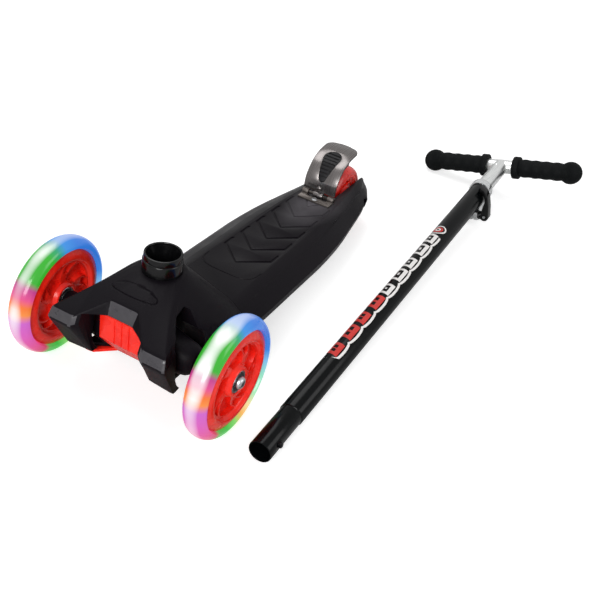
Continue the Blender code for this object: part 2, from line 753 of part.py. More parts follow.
def hood_rings():
    """Five rings down the hood's outside: crown, shoulder, upper edges, lower edges and foot."""
    turns = [math.pi * i / 8 for i in range(9)]
    crown = [(CROWN_RADIUS * math.sin(a), SOCKET_Y - CROWN_RADIUS * math.cos(a), HOOD_TOP) for a in turns]
    claw = HOOD_CLAW_OUTER
    wide = SHOULDER_HALF_WIDTH
    shoulder = [(0.0, -0.010, HOOD_TOP - 0.0050), (0.4 * wide, -0.010, HOOD_TOP - 0.0050),
                (0.85 * wide, -0.012, HOOD_TOP - 0.0085), (1.2 * wide, -0.013, HOOD_TOP - 0.0120),
                (wide, 0.010, HOOD_TOP - 0.0045), (wide, 0.032, HOOD_TOP - 0.0055),
                (0.97 * wide, 0.052, HOOD_TOP - 0.0120), (0.70 * wide, 0.066, HOOD_TOP - 0.0165),
                (0.0, 0.070, HOOD_TOP - 0.0180)]
    upper = [(0.0, -0.025, HOOD_NOTCH_TOP), (0.015, -0.025, HOOD_NOTCH_TOP),
             (0.038, 0.004 - HOOD_FRONT, HOOD_CLAW_TOP), (claw - 0.002, 0.004 - HOOD_FRONT, HOOD_CLAW_TOP),
             (0.042, 0.008, 0.098), (0.045, 0.036, 0.093), (0.050, 0.062, 0.082),
             (0.047, HOOD_REAR - 0.007, DECK_TOP + 0.0035), (0.0, HOOD_REAR, DECK_TOP + 0.0035)]
    lower = [(0.0, -0.031, HOOD_NOTCH_FOOT), (0.0135, -0.031, HOOD_NOTCH_FOOT),
             (0.038, -HOOD_FRONT, HOOD_CLAW_LIP), (claw, -HOOD_FRONT, HOOD_CLAW_LIP),
             (0.051, -0.001, 0.081), (0.0545, 0.037, 0.077), (0.0605, 0.066, 0.064),
             (HOOD_SKIRT - 0.0013, HOOD_REAR - 0.005, 0.047), (0.0, HOOD_REAR + 0.003, DECK_TOP - 0.004)]
    foot = [(0.0, -0.024, HOOD_CLAW_BOTTOM), (0.0135, -0.024, HOOD_CLAW_BOTTOM),
            (0.036, -0.0275, HOOD_CLAW_BOTTOM), (claw - 0.004, -0.0295, HOOD_CLAW_BOTTOM),
            (HOOD_SKIRT - 0.0088, 0.0, HOOD_CLAW_BOTTOM), (HOOD_SKIRT - 0.0098, 0.037, HOOD_CLAW_BOTTOM),
            (HOOD_SKIRT - 0.0043, 0.066, HOOD_CLAW_BOTTOM), (HOOD_SKIRT, HOOD_REAR - 0.005, HOOD_CLAW_BOTTOM),
            (0.0, HOOD_REAR + 0.001, HOOD_CLAW_BOTTOM)]
    rings = []
    for half in (crown, shoulder, upper, lower, foot):
        rings.append(half + [(-x, y, z) for x, y, z in reversed(half[1:-1])])
    return rings


def hollow_rings():
    """The hood's hollow behind the truck, one wall in from its skin and open towards the deck."""
    front = DECK_FRONT + HOOD_WALL
    rear = HOOD_REAR - 0.022
    rings = []
    for height, spread, back in ((HOOD_TOP - 2.2 * HOOD_WALL, 0.027, 0.054), (0.088, 0.037, 0.068),
                                 (0.074, 0.044, 0.080), (DECK_TOP - 0.002, 0.048, rear)):
        half = [(0.0, front), (spread * 0.9, front), (spread, (front + back) / 2), (spread, back),
                (0.0, back)]
        half = [(x, y, height) for x, y in half]
        rings.append(half + [(-x, y, z) for x, y, z in reversed(half[1:-1])])
    return rings


def arch_outline():
    """The opening in the hood's side over the wheel's arm: upright sides under a top that leans back."""
    spring = ARCH_TOP - 0.018
    middle = (ARCH_FRONT + ARCH_REAR) / 2
    return [(ARCH_FRONT, FRONT_WHEEL_RADIUS), (ARCH_FRONT, spring), (ARCH_FRONT + 0.008, ARCH_TOP - 0.008),
            (middle, ARCH_TOP - 0.002), (ARCH_REAR - 0.006, ARCH_TOP), (ARCH_REAR, ARCH_TOP - 0.005),
            (ARCH_REAR, FRONT_WHEEL_RADIUS)]


def grown_deck(name):
    """The deck's outer form with the fitting gap round it, to seat the hood on."""
    stations = [y for y in deck_stations() if y < HOOD_REAR + 0.03]
    stations[0] -= 0.001
    return loft(name, [deck_section(y, grow=FIT_GAP) for y in stations])


def build_hood():
    hood = loft("front_hood", hood_rings())
    half = TRUCK_HALF_WIDTH + CAVITY_CLEARANCE
    cavity = box("truck_cavity", (-half, -HOOD_FRONT - 0.02, 0.0),
                 (half, DECK_FRONT - 0.004, HOOD_CAVITY_TOP))
    cut(hood, SCOOTER.hold(cavity))
    arms = rod("arm_cavity", ARM_CAVITY_RADIUS, -HALF_TRACK, HALF_TRACK, ROUND_SIDES)
    cut(hood, place(SCOOTER.hold(arms), (0.0, 0.0, FRONT_WHEEL_RADIUS), (0.0, math.pi / 2, 0.0)))
    for side, sign in (("left", -1), ("right", 1)):
        near, far = sorted((sign * ARCH_INNER, sign * HALF_TRACK))
        cut(hood, SCOOTER.hold(swept_prism("side_arch_" + side, arch_outline(), near, far)))
    cut(hood, SCOOTER.hold(loft("hood_hollow", hollow_rings())))
    cup_radius = PLUG_RADIUS + 2.0 * FIT_GAP + SOCKET_WALL + CUP_WALL
    cup_foot = SOCKET_TOP - SOCKET_DEPTH - CUP_WALL
    cup = rod("socket_cup", cup_radius, cup_foot, HOOD_TOP - COLLAR_SINK - 0.001, ROUND_SIDES)
    fuse(hood, place(SCOOTER.hold(cup), (0.0, SOCKET_Y, 0.0)))
    rim = rod("socket_rim", BOSS_OUTER, HOOD_CAVITY_TOP - 0.001, HOOD_TOP - 0.002, ROUND_SIDES)
    fuse(hood, place(SCOOTER.hold(rim), (0.0, SOCKET_Y, 0.0)))
    block = box("screw_block", (-SCREW_BLOCK_HALF, DECK_FRONT - 0.002, DECK_TOP - 0.001),
                (SCREW_BLOCK_HALF, SOCKET_Y + BOSS_OUTER + 0.002, HOOD_CAVITY_TOP))
    fuse(hood, SCOOTER.hold(block))
    cut(hood, SCOOTER.hold(grown_deck("deck_seat")))
    bush_outer = PLUG_RADIUS + FIT_GAP + SOCKET_WALL
    bore = rod("socket_bore", bush_outer + FIT_GAP, SOCKET_TOP - SOCKET_DEPTH - FIT_GAP, HOOD_TOP + 0.01,
               ROUND_SIDES)
    cut(hood, place(SCOOTER.hold(bore), (0.0, SOCKET_Y, 0.0)))
    sink = rod("collar_sink", COLLAR_RADIUS + FIT_GAP, HOOD_TOP - COLLAR_SINK - FIT_GAP, HOOD_TOP + 0.01,
               ROUND_SIDES)
    cut(hood, place(SCOOTER.hold(sink), (0.0, SOCKET_Y, 0.0)))
    kingpin = rod("kingpin_hole", KINGPIN_RADIUS + FIT_GAP, 0.0, KINGPIN_TOP + FIT_GAP, SMALL_SIDES)
    cut(hood, place(SCOOTER.hold(kingpin), PIVOT, PIVOT_TURN))
    seat = rod("kingpin_seat", BUSH_RADIUS + SEAT_CLEARANCE, 0.0, UPPER_SEAT + UPPER_BUSH_HEIGHT + FIT_GAP,
               ROUND_SIDES)
    cut(hood, place(SCOOTER.hold(seat), PIVOT, PIVOT_TURN))
    for i, (x, y) in enumerate(screw_places()):
        hole = rod("hood_screw_hole_%d" % i, SCREW_RADIUS + FIT_GAP, DECK_TOP - 0.01,
                   DECK_TOP + SCREW_GRIP + FIT_GAP, SMALL_SIDES)
        cut(hood, place(SCOOTER.hold(hole), (x, y, 0.0)))
    keep(SCOOTER.hold(hood), "black_plastic")


def build_socket():
    inner = PLUG_RADIUS + FIT_GAP
    outer = inner + SOCKET_WALL
    foot = SOCKET_TOP - SOCKET_DEPTH
    ledge = SOCKET_STEP + FIT_GAP
    bush = turned("socket_bush", [(SOCKET_FLANGE - 0.0008, SOCKET_TOP), (SOCKET_FLANGE, SOCKET_TOP - 0.0008),
                                  (SOCKET_FLANGE, ledge), (outer, ledge), (outer, foot), (inner, foot),
                                  (inner, SOCKET_TOP - MOUTH_END), (MOUTH_RADIUS, SOCKET_TOP - MOUTH_LIP),
                                  (MOUTH_RADIUS, SOCKET_TOP)], WHEEL_SIDES, closed=True)
    hole = rod("detent_hole", BUTTON_RADIUS + FIT_GAP, PLUG_RADIUS - 0.002, outer + 0.002, SMALL_SIDES)
    cut(bush, place(SCOOTER.hold(hole), (0.0, SOCKET_Y, DETENT_Z), (0.0, math.pi / 2, 0.0)))
    keep(place(SCOOTER.hold(bush), (0.0, SOCKET_Y, 0.0)), "black_paint")
    low = HOOD_TOP - COLLAR_SINK
    profile = [(COLLAR_RADIUS - 0.0015, SOCKET_STEP), (COLLAR_RADIUS, SOCKET_STEP - 0.0015),
               (COLLAR_RADIUS, low), (outer + FIT_GAP, low), (outer + FIT_GAP, SOCKET_STEP)]
    collar = turned("socket_collar", profile, WHEEL_SIDES, closed=True)
    keep(place(SCOOTER.hold(collar), (0.0, SOCKET_Y, 0.0)), "black_plastic")


def build_hood_screws():
    for i, (x, y) in enumerate(screw_places()):
        head_top = DECK_TOP - DECK_WALL - FIT_GAP
        tip = DECK_TOP + SCREW_GRIP
        profile = [(0.0, tip), (SCREW_RADIUS, tip), (SCREW_RADIUS, head_top), (SCREW_HEAD_RADIUS, head_top),
                   (SCREW_HEAD_RADIUS, head_top - SCREW_HEAD_HEIGHT), (0.0, head_top - SCREW_HEAD_HEIGHT)]
        screw = turned("hood_screw_%d" % (i + 1), profile, SMALL_SIDES)
        keep(place(SCOOTER.hold(screw), (x, y, 0.0)), "steel")


# Steering truck

PIVOT = (0.0, PIVOT_Y, FRONT_WHEEL_RADIUS)
PIVOT_TURN = (KINGPIN_RAKE, 0.0, 0.0)


def truck_section(x, middle_y, middle_z, half_y, half_z, power, taper=0.0):
    """A rounded cross-section of the truck's beam; its front leans back below the middle by the taper."""
    count = 20
    points = []
    for i in range(count):
        angle = 2 * math.pi * (i + 0.5) / count
        c, s = math.cos(angle), math.sin(angle)
        up = math.copysign(abs(s) ** (2 / power), s)
        depth = math.copysign(abs(c) ** (2 / power), c)
        if depth < 0.0 and up < 0.0:
            depth *= 1.0 + taper * up
        points.append((x, middle_y + half_y * depth, middle_z + half_z * up))
    return points


def build_truck():
    carrier = SCOOTER.carriers["truck_axis"]
    axle_z = FRONT_WHEEL_RADIUS
    stations = [
        (ARM_END, 0.0, axle_z, ARM_END_RADIUS, ARM_END_RADIUS, 2.0),
        (ARM_WRIST, -0.001, axle_z, 0.0150, 0.0150, 2.2),
        (ARM_ELBOW, -0.001, axle_z, 0.0168, 0.0175, 2.4),
        (TRUCK_HALF_WIDTH + 0.002, -0.001, TRUCK_MIDDLE_Z, 0.0185, 0.0205, 3.0),
        (TRUCK_HALF_WIDTH, TRUCK_MIDDLE_Y, TRUCK_MIDDLE_Z, TRUCK_HALF_DEPTH, TRUCK_HALF_HEIGHT, 6.0,
         TRUCK_FRONT_TAPER),
    ]
    sections = [truck_section(*station) for station in stations]
    sections += [truck_section(-station[0], *station[1:]) for station in reversed(stations)]
    truck = loft("truck_body", sections)
    sole = TRUCK_MIDDLE_Z - TRUCK_HALF_HEIGHT
    side_face = TRUCK_HALF_WIDTH + FIT_GAP
    root = WING_REAR - WING_ROOT
    for side, sign in (("left", -1), ("right", 1)):
        outline = [(side_face, root - WING_ROOT), (WING_HALF_WIDTH - WING_ROOT, WING_FRONT),
                   (WING_HALF_WIDTH, WING_FRONT), (WING_HALF_WIDTH, WING_REAR),
                   (TRUCK_HALF_WIDTH - WING_ROOT, WING_REAR), (TRUCK_HALF_WIDTH - WING_ROOT, root),
                   (side_face, root)]
        wing = prism("truck_wing_" + side, [(sign * x, y) for x, y in outline], sole, sole + WING_THICKNESS)
        fuse(truck, SCOOTER.hold(wing, carrier))
    bore = rod("truck_bore", KINGPIN_RADIUS + FIT_GAP, -0.08, 0.08, SMALL_SIDES)
    cut(truck, place(SCOOTER.hold(bore, carrier), PIVOT, PIVOT_TURN))
    top_seat = rod("upper_bush_seat", BUSH_RADIUS + SEAT_CLEARANCE, UPPER_SEAT - FIT_GAP, 0.08, ROUND_SIDES)
    cut(truck, place(SCOOTER.hold(top_seat, carrier), PIVOT, PIVOT_TURN))
    low_seat = rod("lower_bush_seat", BUSH_RADIUS + SEAT_CLEARANCE, -0.08, LOWER_SEAT + FIT_GAP, ROUND_SIDES)
    cut(truck, place(SCOOTER.hold(low_seat, carrier), PIVOT, PIVOT_TURN))
    cup_radius = PLUG_RADIUS + 2.0 * FIT_GAP + SOCKET_WALL + CUP_WALL
    cup_foot = SOCKET_TOP - SOCKET_DEPTH - CUP_WALL
    room = rod("socket_room", cup_radius + SOCKET_CLEARANCE, cup_foot - SOCKET_CLEARANCE, HOOD_TOP,
               ROUND_SIDES)
    cut(truck, place(SCOOTER.hold(room, carrier), (0.0, SOCKET_Y, 0.0)))
    for side, sign in (("left", -1), ("right", 1)):
        bolt_hole = rod("arm_bore_" + side, AXLE_RADIUS + FIT_GAP, ARM_ELBOW, HALF_TRACK, SMALL_SIDES)
        outwards = (0.0, sign * math.pi / 2, 0.0)
        cut(truck, place(SCOOTER.hold(bolt_hole, carrier), (0.0, 0.0, axle_z), outwards))
        boss = turned("%s_axle_boss" % side,
                      [(BOSS_RADIUS * 0.75, AXLE_BOSS_END), (BOSS_RADIUS, AXLE_BOSS_END - 0.004),
                       (BOSS_RADIUS, ARM_END + FIT_GAP), (AXLE_RADIUS + FIT_GAP, ARM_END + FIT_GAP),
                       (AXLE_RADIUS + FIT_GAP, AXLE_BOSS_END)], SMALL_SIDES, closed=True)
        keep(place(SCOOTER.hold(boss, carrier), (0.0, 0.0, axle_z), outwards), "black_plastic")
    keep(SCOOTER.hold(truck, carrier), "black_plastic")
    build_truck_cover(carrier)


def build_truck_cover(carrier):
    """The ribbed red face between the hood's claws, with a chin that runs out under them."""
    face = TRUCK_MIDDLE_Y - TRUCK_HALF_DEPTH - FIT_GAP
    front = face - COVER_THICKNESS
    top = TRUCK_MIDDLE_Z + TRUCK_HALF_HEIGHT - 0.001
    foot = TRUCK_MIDDLE_Z - TRUCK_HALF_HEIGHT - FIT_GAP - CHIN_THICKNESS
    lean = TRUCK_FRONT_TAPER * TRUCK_HALF_DEPTH / TRUCK_HALF_HEIGHT
    back = face + lean * (TRUCK_MIDDLE_Z - foot)
    outline = [(face, top), (front + 0.001, top), (front, top - 0.002), (front, TRUCK_MIDDLE_Z - 0.001),
               (back - COVER_THICKNESS, foot), (back, foot), (face, TRUCK_MIDDLE_Z)]
    cover = swept_prism("truck_cover", outline, -TRUCK_HALF_WIDTH, TRUCK_HALF_WIDTH)
    half = [(CHIN_ROOT, back - COVER_THICKNESS * 0.7), (CHIN_HALF_WIDTH - CHIN_WING, CHIN_FRONT + 0.001),
            (CHIN_HALF_WIDTH, CHIN_FRONT), (CHIN_HALF_WIDTH, CHIN_FRONT + CHIN_WING),
            (CHIN_ROOT + 0.004, CHIN_REAR)]
    chin = prism("cover_chin", half + [(-x, y) for x, y in reversed(half)], foot, foot + CHIN_THICKNESS)
    fuse(cover, SCOOTER.hold(chin, carrier))
    for i in range(COVER_GROOVES):
        x = (i - (COVER_GROOVES - 1) / 2) * COVER_GROOVE_PITCH
        groove = box("cover_groove_%d" % i, (x - COVER_GROOVE_WIDTH / 2, front - 0.01, foot + 0.020),
                     (x + COVER_GROOVE_WIDTH / 2, front + COVER_GROOVE_DEPTH, top + 0.01))
        cut(cover, SCOOTER.hold(groove, carrier))
    keep(SCOOTER.hold(cover, carrier), "red_plastic")


def build_kingpin():
    """The inclined bolt that the truck turns on, hung from the hood, with a bush above and below."""
    low = LOWER_SEAT - LOWER_BUSH_HEIGHT - 2.0 * FIT_GAP
    profile = [(0.0, KINGPIN_TOP), (KINGPIN_RADIUS, KINGPIN_TOP), (KINGPIN_RADIUS, low),
               (KINGPIN_HEAD_RADIUS, low), (KINGPIN_HEAD_RADIUS, low - KINGPIN_HEAD_HEIGHT * 0.7),
               (KINGPIN_HEAD_RADIUS * 0.8, low - KINGPIN_HEAD_HEIGHT), (0.0, low - KINGPIN_HEAD_HEIGHT)]
    keep(place(SCOOTER.hold(turned("kingpin_bolt", profile, SMALL_SIDES)), PIVOT, PIVOT_TURN), "steel")
    inner = KINGPIN_RADIUS + FIT_GAP
    for name, base, height in (("upper_bush", UPPER_SEAT, UPPER_BUSH_HEIGHT),
                               ("lower_bush", LOWER_SEAT - LOWER_BUSH_HEIGHT - FIT_GAP, LOWER_BUSH_HEIGHT)):
        top = base + height
        bush = turned(name, [(BUSH_RADIUS * 0.85, top), (BUSH_RADIUS, top - height * 0.3),
                             (BUSH_RADIUS, base + height * 0.3), (BUSH_RADIUS * 0.85, base), (inner, base),
                             (inner, top)], ROUND_SIDES, closed=True)
        keep(place(SCOOTER.hold(bush), PIVOT, PIVOT_TURN), "rubber")


# Brake

def brake_line():
    """The bent centre line of the brake plate as (y, z) points, from its hinge end to its far end."""
    rise = BRAKE_TOP - BRAKE_HINGE_Z
    reach = BRAKE_END - BRAKE_HINGE_Y
    shares = [(0.012, 0.11), (0.010, 0.20), (0.036, 0.42), (0.127, 0.62), (0.273, 0.807), (0.473, 0.932),
              (0.727, 0.989), (1.03, 1.0)]
    return [(BRAKE_HINGE_Y + reach * a, BRAKE_HINGE_Z + rise * b) for a, b in shares]


def offset_line(line, distance):
    """A line of (y, z) points moved sideways; a positive distance is up and forwards of the plate."""
    moved = []
    for i, (y, z) in enumerate(line):
        y0, z0 = line[max(i - 1, 0)]
        y1, z1 = line[min(i + 1, len(line) - 1)]
        length = math.hypot(y1 - y0, z1 - z0)
        moved.append((y - (z1 - z0) / length * distance, z + (y1 - y0) / length * distance))
    return moved


def band(name, low, high, half_width):
    """A bent sheet along the brake's line, between two distances from it."""
    line = brake_line()
    outline = offset_line(line, high) + offset_line(line, low)[::-1]
    return swept_prism(name, outline, -half_width, half_width)


def pear(name, shrink):
    """The pear outline of the plate's window, looking square on to the middle of the bend."""
    length = PEAR_LENGTH
    keys = [(0.0, 0.0), (0.012, 0.20), (0.05, 0.38), (0.25, 0.60), (0.50, 0.82), (0.72, 1.0), (0.86, 0.88),
            (0.96, 0.50), (1.0, 0.0)]
    half = [(PEAR_HALF_WIDTH * w - shrink, length * t) for t, w in keys[1:-1]]
    outline = [(0.0, shrink)] + half + [(0.0, length - shrink)] + [(-x, y) for x, y in reversed(half)]
    foot = (0.0, BRAKE_HINGE_Y + PEAR_FOOT_Y, BRAKE_HINGE_Z + PEAR_FOOT_Z)
    return place(prism(name, outline, -PEAR_CUT, PEAR_CUT), foot, (math.pi / 4, 0.0, 0.0))


def end_outline(name):
    """The plate seen from above: straight sides, rounded far corners and a bulged end."""
    half = BRAKE_WIDTH / 2
    outline = [(-half, BRAKE_HINGE_Y - 0.02), (half, BRAKE_HINGE_Y - 0.02)]
    for i in range(5):
        angle = i * math.pi / 8
        outline.append((half - BRAKE_CORNER * (1.0 - math.cos(angle)),
                        BRAKE_END - BRAKE_CORNER * (1.0 - math.sin(angle))))
    outline.append((0.0, BRAKE_END + BRAKE_BULGE * 0.7))
    outline += [(-x, y) for x, y in reversed(outline[2:-1])]
    return prism(name, outline, 0.0, BRAKE_TOP + 0.02)


def build_brake():
    hinge = (0.0, BRAKE_HINGE_Y, BRAKE_HINGE_Z)
    across = (0.0, math.pi / 2, 0.0)
    carrier = SCOOTER.carrier("brake_axis", Matrix.Translation(hinge))
    build_brake_foot(hinge, across)
    half = BRAKE_THICKNESS / 2
    plate = band("brake_plate", -half, half, BRAKE_WIDTH / 2)
    boolean(plate, guide(SCOOTER.hold(end_outline("brake_end"), carrier)), "INTERSECT")
    knuckle = rod("plate_knuckle", KNUCKLE_RADIUS, -PLATE_KNUCKLE_HALF, PLATE_KNUCKLE_HALF, SMALL_SIDES)
    fuse(plate, place(SCOOTER.hold(knuckle, carrier), hinge, across))
    neck = box("plate_neck", (-PLATE_KNUCKLE_HALF, BRAKE_HINGE_Y - 0.0004, BRAKE_HINGE_Z + 0.001),
               (PLATE_KNUCKLE_HALF, BRAKE_HINGE_Y + 0.0014, BRAKE_HINGE_Z + 0.007))
    fuse(plate, SCOOTER.hold(neck, carrier))
    bore = rod("plate_bore", BRAKE_PIN_RADIUS + FIT_GAP, -BRAKE_WIDTH, BRAKE_WIDTH, SMALL_SIDES)
    cut(plate, place(SCOOTER.hold(bore, carrier), hinge, across))
    cut(plate, SCOOTER.hold(pear("plate_window", 0.0), carrier))
    rivet_y = BRAKE_HINGE_Y + 0.0005
    square_on = (math.pi / 2, 0.0, 0.0)
    hole = rod("plate_rivet_hole", RIVET_SHANK + FIT_GAP, -0.01, 0.01, SMALL_SIDES)
    cut(plate, place(SCOOTER.hold(hole, carrier), (0.0, rivet_y, RIVET_Z), square_on))
    keep(SCOOTER.hold(plate, carrier), "steel")
    build_brake_pad(carrier, rivet_y, square_on)
    shank_end = -BRAKE_THICKNESS - PAD_TONGUE
    profile = [(0.0, half + 0.0022), (RIVET_RADIUS * 0.6, half + 0.0019), (RIVET_RADIUS, half + 0.0009),
               (RIVET_RADIUS, half + FIT_GAP), (RIVET_SHANK, half + FIT_GAP), (RIVET_SHANK, shank_end),
               (0.0, shank_end)]
    rivet = turned("brake_rivet", profile, SMALL_SIDES)
    keep(place(SCOOTER.hold(rivet, carrier), (0.0, rivet_y, RIVET_Z), square_on), "steel")


def build_brake_pad(carrier, rivet_y, square_on):
    """The black pad behind the plate; its ribbed pear boss fills the plate's window."""
    near = -BRAKE_THICKNESS / 2 - FIT_GAP
    back = offset_line(brake_line()[2:], near)
    wheel_y, wheel_z = WHEELBASE, REAR_WHEEL_RADIUS
    reach = REAR_WHEEL_RADIUS + PAD_GAP
    arc = []
    for i in range(5):
        angle = math.radians(97.0 + i * 10.0)
        arc.append((wheel_y + reach * math.cos(angle), wheel_z + reach * math.sin(angle)))
    outline = back[:-1] + [(BRAKE_END - 0.003, back[-1][1])] + arc
    outline += [(back[0][0] + PAD_TONGUE, back[0][1]), (back[0][0] + PAD_TONGUE, RIVET_Z - 0.0035),
                (rivet_y - near, RIVET_Z - 0.0035)]
    pad = swept_prism("brake_pad", outline, -PAD_HALF_WIDTH, PAD_HALF_WIDTH)
    boss = band("pad_boss", near - 0.001, BRAKE_THICKNESS / 2 + 0.0006, PAD_HALF_WIDTH * 2)
    boolean(boss, guide(SCOOTER.hold(pear("pad_pear", FIT_GAP), carrier)), "INTERSECT")
    fuse(pad, SCOOTER.hold(boss, carrier))
    hole = rod("pad_rivet_hole", RIVET_SHANK + FIT_GAP, -0.01, 0.01, SMALL_SIDES)
    cut(pad, place(SCOOTER.hold(hole, carrier), (0.0, rivet_y, RIVET_Z), square_on))
    keep(SCOOTER.hold(pad, carrier), "black_plastic")


def build_brake_foot(hinge, across):
    """The screwed-down hinge foot, its pin and the spring round the pin."""
    half = BRAKE_WIDTH / 2
    low = DECK_TOP + FIT_GAP
    top = low + FOOT_THICKNESS
    foot = box("brake_foot", (-half, BRAKE_HINGE_Y - FOOT_LENGTH, low),
               (half, BRAKE_HINGE_Y - KNUCKLE_RADIUS - 0.0008, top))
    for side, sign in (("left", -1), ("right", 1)):
        inner, outer = sorted((sign * FOOT_KNUCKLE_INNER, sign * half))
        lug = box("foot_lug_" + side, (inner, BRAKE_HINGE_Y - KNUCKLE_RADIUS - 0.002, low),
                  (outer, BRAKE_HINGE_Y + KNUCKLE_RADIUS * 0.6, BRAKE_HINGE_Z - KNUCKLE_RADIUS * 0.5))
        fuse(foot, SCOOTER.hold(lug))
        eye = rod("foot_eye_" + side, KNUCKLE_RADIUS, inner, outer, SMALL_SIDES)
        fuse(foot, place(SCOOTER.hold(eye), hinge, across))
    bore = rod("foot_bore", BRAKE_PIN_RADIUS + FIT_GAP, -BRAKE_WIDTH, BRAKE_WIDTH, SMALL_SIDES)
    cut(foot, place(SCOOTER.hold(bore), hinge, across))
    hole = rod("foot_hole", SCREW_RADIUS + FIT_GAP, low - 0.01, top + 0.01, SMALL_SIDES)
    cut(foot, place(SCOOTER.hold(hole), (0.0, FOOT_SCREW_Y, 0.0)))
    keep(SCOOTER.hold(foot), "steel")
    head = SCREW_HEAD_RADIUS * 0.9
    tip = DECK_TOP - FOOT_SCREW_LENGTH + FIT_GAP
    profile = [(0.0, top + 0.0020), (head * 0.7, top + 0.0018), (head, top + 0.0008), (head, top + FIT_GAP),
               (SCREW_RADIUS, top + FIT_GAP), (SCREW_RADIUS, tip), (0.0, tip)]
    screw = turned("foot_screw", profile, SMALL_SIDES)
    keep(place(SCOOTER.hold(screw), (0.0, FOOT_SCREW_Y, 0.0)), "steel")
    pin = rod("brake_pin", BRAKE_PIN_RADIUS, -half - 0.001, half + 0.001, SMALL_SIDES)
    keep(place(SCOOTER.hold(pin), hinge, across), "steel")
    build_brake_spring(hinge)


def build_brake_spring(hinge):
    """One wire: a straight leg against the deck, the coil round the pin, a straight leg up behind."""
    path = [(SPRING_START, -SPRING_RADIUS, -SPRING_RADIUS),
            (SPRING_START, -SPRING_RADIUS * 0.4, -SPRING_RADIUS)]
    count = int(SPRING_TURNS * 9)
    for i in range(count + 1):
        turn = SPRING_TURNS * i / count
        angle = -math.pi / 2 + 2.0 * math.pi * turn
        path.append((SPRING_START + SPRING_PITCH * turn, SPRING_RADIUS * math.cos(angle),
                     SPRING_RADIUS * math.sin(angle)))
    end = path[-1][0]
    path += [(end, SPRING_RADIUS, SPRING_RADIUS * 0.4), (end, SPRING_RADIUS, SPRING_RADIUS * 1.3)]
    spring = wire("brake_spring", path, SPRING_WIRE)
    print("brake spring: gap between turns %.2f mm" % ((SPRING_PITCH - 2.0 * SPRING_WIRE) * 1000.0))
    keep(place(SCOOTER.hold(spring), hinge), "steel")


def wire(name, path, radius):
    """A round wire along a path, closed at both ends."""
    data = bpy.data.curves.new(name, "CURVE")
    data.dimensions = "3D"
    data.bevel_depth = radius
    data.bevel_resolution = 1
    data.use_fill_caps = True
    spline = data.splines.new("POLY")
    spline.points.add(len(path) - 1)
    for point, (x, y, z) in zip(spline.points, path):
        point.co = (x, y, z, 1.0)
    drawn = bpy.data.objects.new(name + "_path", data)
    bpy.context.scene.collection.objects.link(drawn)
    bpy.context.view_layer.update()
    mesh = bpy.data.meshes.new_from_object(drawn.evaluated_get(bpy.context.evaluated_depsgraph_get()))
    bpy.data.objects.remove(drawn, do_unlink=True)
    work = bmesh.new()
    work.from_mesh(mesh)
    bmesh.ops.remove_doubles(work, verts=work.verts, dist=MERGE)
    face_outwards(work)
    work.to_mesh(mesh)
    work.free()
    return bpy.data.objects.new(name, mesh)


# T-bar

def fore_prism(name, outline, low, high):
    """An outline of (x, z) points extruded along Y between two places."""
    piece = prism(name, outline, -high, -low)
    # Local X, Y, Z of the prism become X, Z and backward Y
    piece.data.transform(Matrix(((1, 0, 0, 0), (0, 0, -1, 0), (0, 1, 0, 0), (0, 0, 0, 1))))
    return piece


def build_tube():
    plug = SOCKET_DEPTH
    profile = [(TUBE_RADIUS - 0.0005, TUBE_TOP), (TUBE_RADIUS, TUBE_TOP - 0.0005),
               (TUBE_RADIUS, plug + 0.0010), (PLUG_RADIUS, plug + 0.0002), (PLUG_RADIUS, 0.0008),
               (PLUG_RADIUS - 0.0008, 0.0), (PLUG_RADIUS - TUBE_WALL, 0.0), (PLUG_RADIUS - TUBE_WALL, plug),
               (TUBE_RADIUS - TUBE_WALL, plug + 0.0010), (TUBE_RADIUS - TUBE_WALL, TUBE_TOP)]
    tube = turned("lower_tube", profile, WHEEL_SIDES, closed=True)
    hole = rod("button_hole", BUTTON_RADIUS + FIT_GAP, PLUG_RADIUS - 0.004, PLUG_RADIUS + 0.004, SMALL_SIDES)
    cut(tube, place(TBAR.hold(hole), (0.0, 0.0, BUTTON_HEIGHT), (0.0, math.pi / 2, 0.0)))
    slit = box("tube_slit", (-EAR_SLIT / 3, 0.0, EAR_BOTTOM),
               (EAR_SLIT / 3, TUBE_RADIUS + 0.01, TUBE_TOP + 0.01))
    cut(tube, TBAR.hold(slit))
    keep(TBAR.hold(tube), "black_paint")
    inner = STEM_RADIUS + FIT_GAP
    outer = TUBE_RADIUS - TUBE_WALL - FIT_GAP
    lip = TUBE_RADIUS - 0.0005
    top = TUBE_TOP + BUSHING_LIP
    profile = [(lip, top), (lip, TUBE_TOP + FIT_GAP), (outer, TUBE_TOP + FIT_GAP),
               (outer, TUBE_TOP - BUSHING_LENGTH), (inner, TUBE_TOP - BUSHING_LENGTH), (inner, top)]
    bush = turned("guide_bush", profile, ROUND_SIDES, closed=True)
    keep(TBAR.hold(bush), "black_plastic")


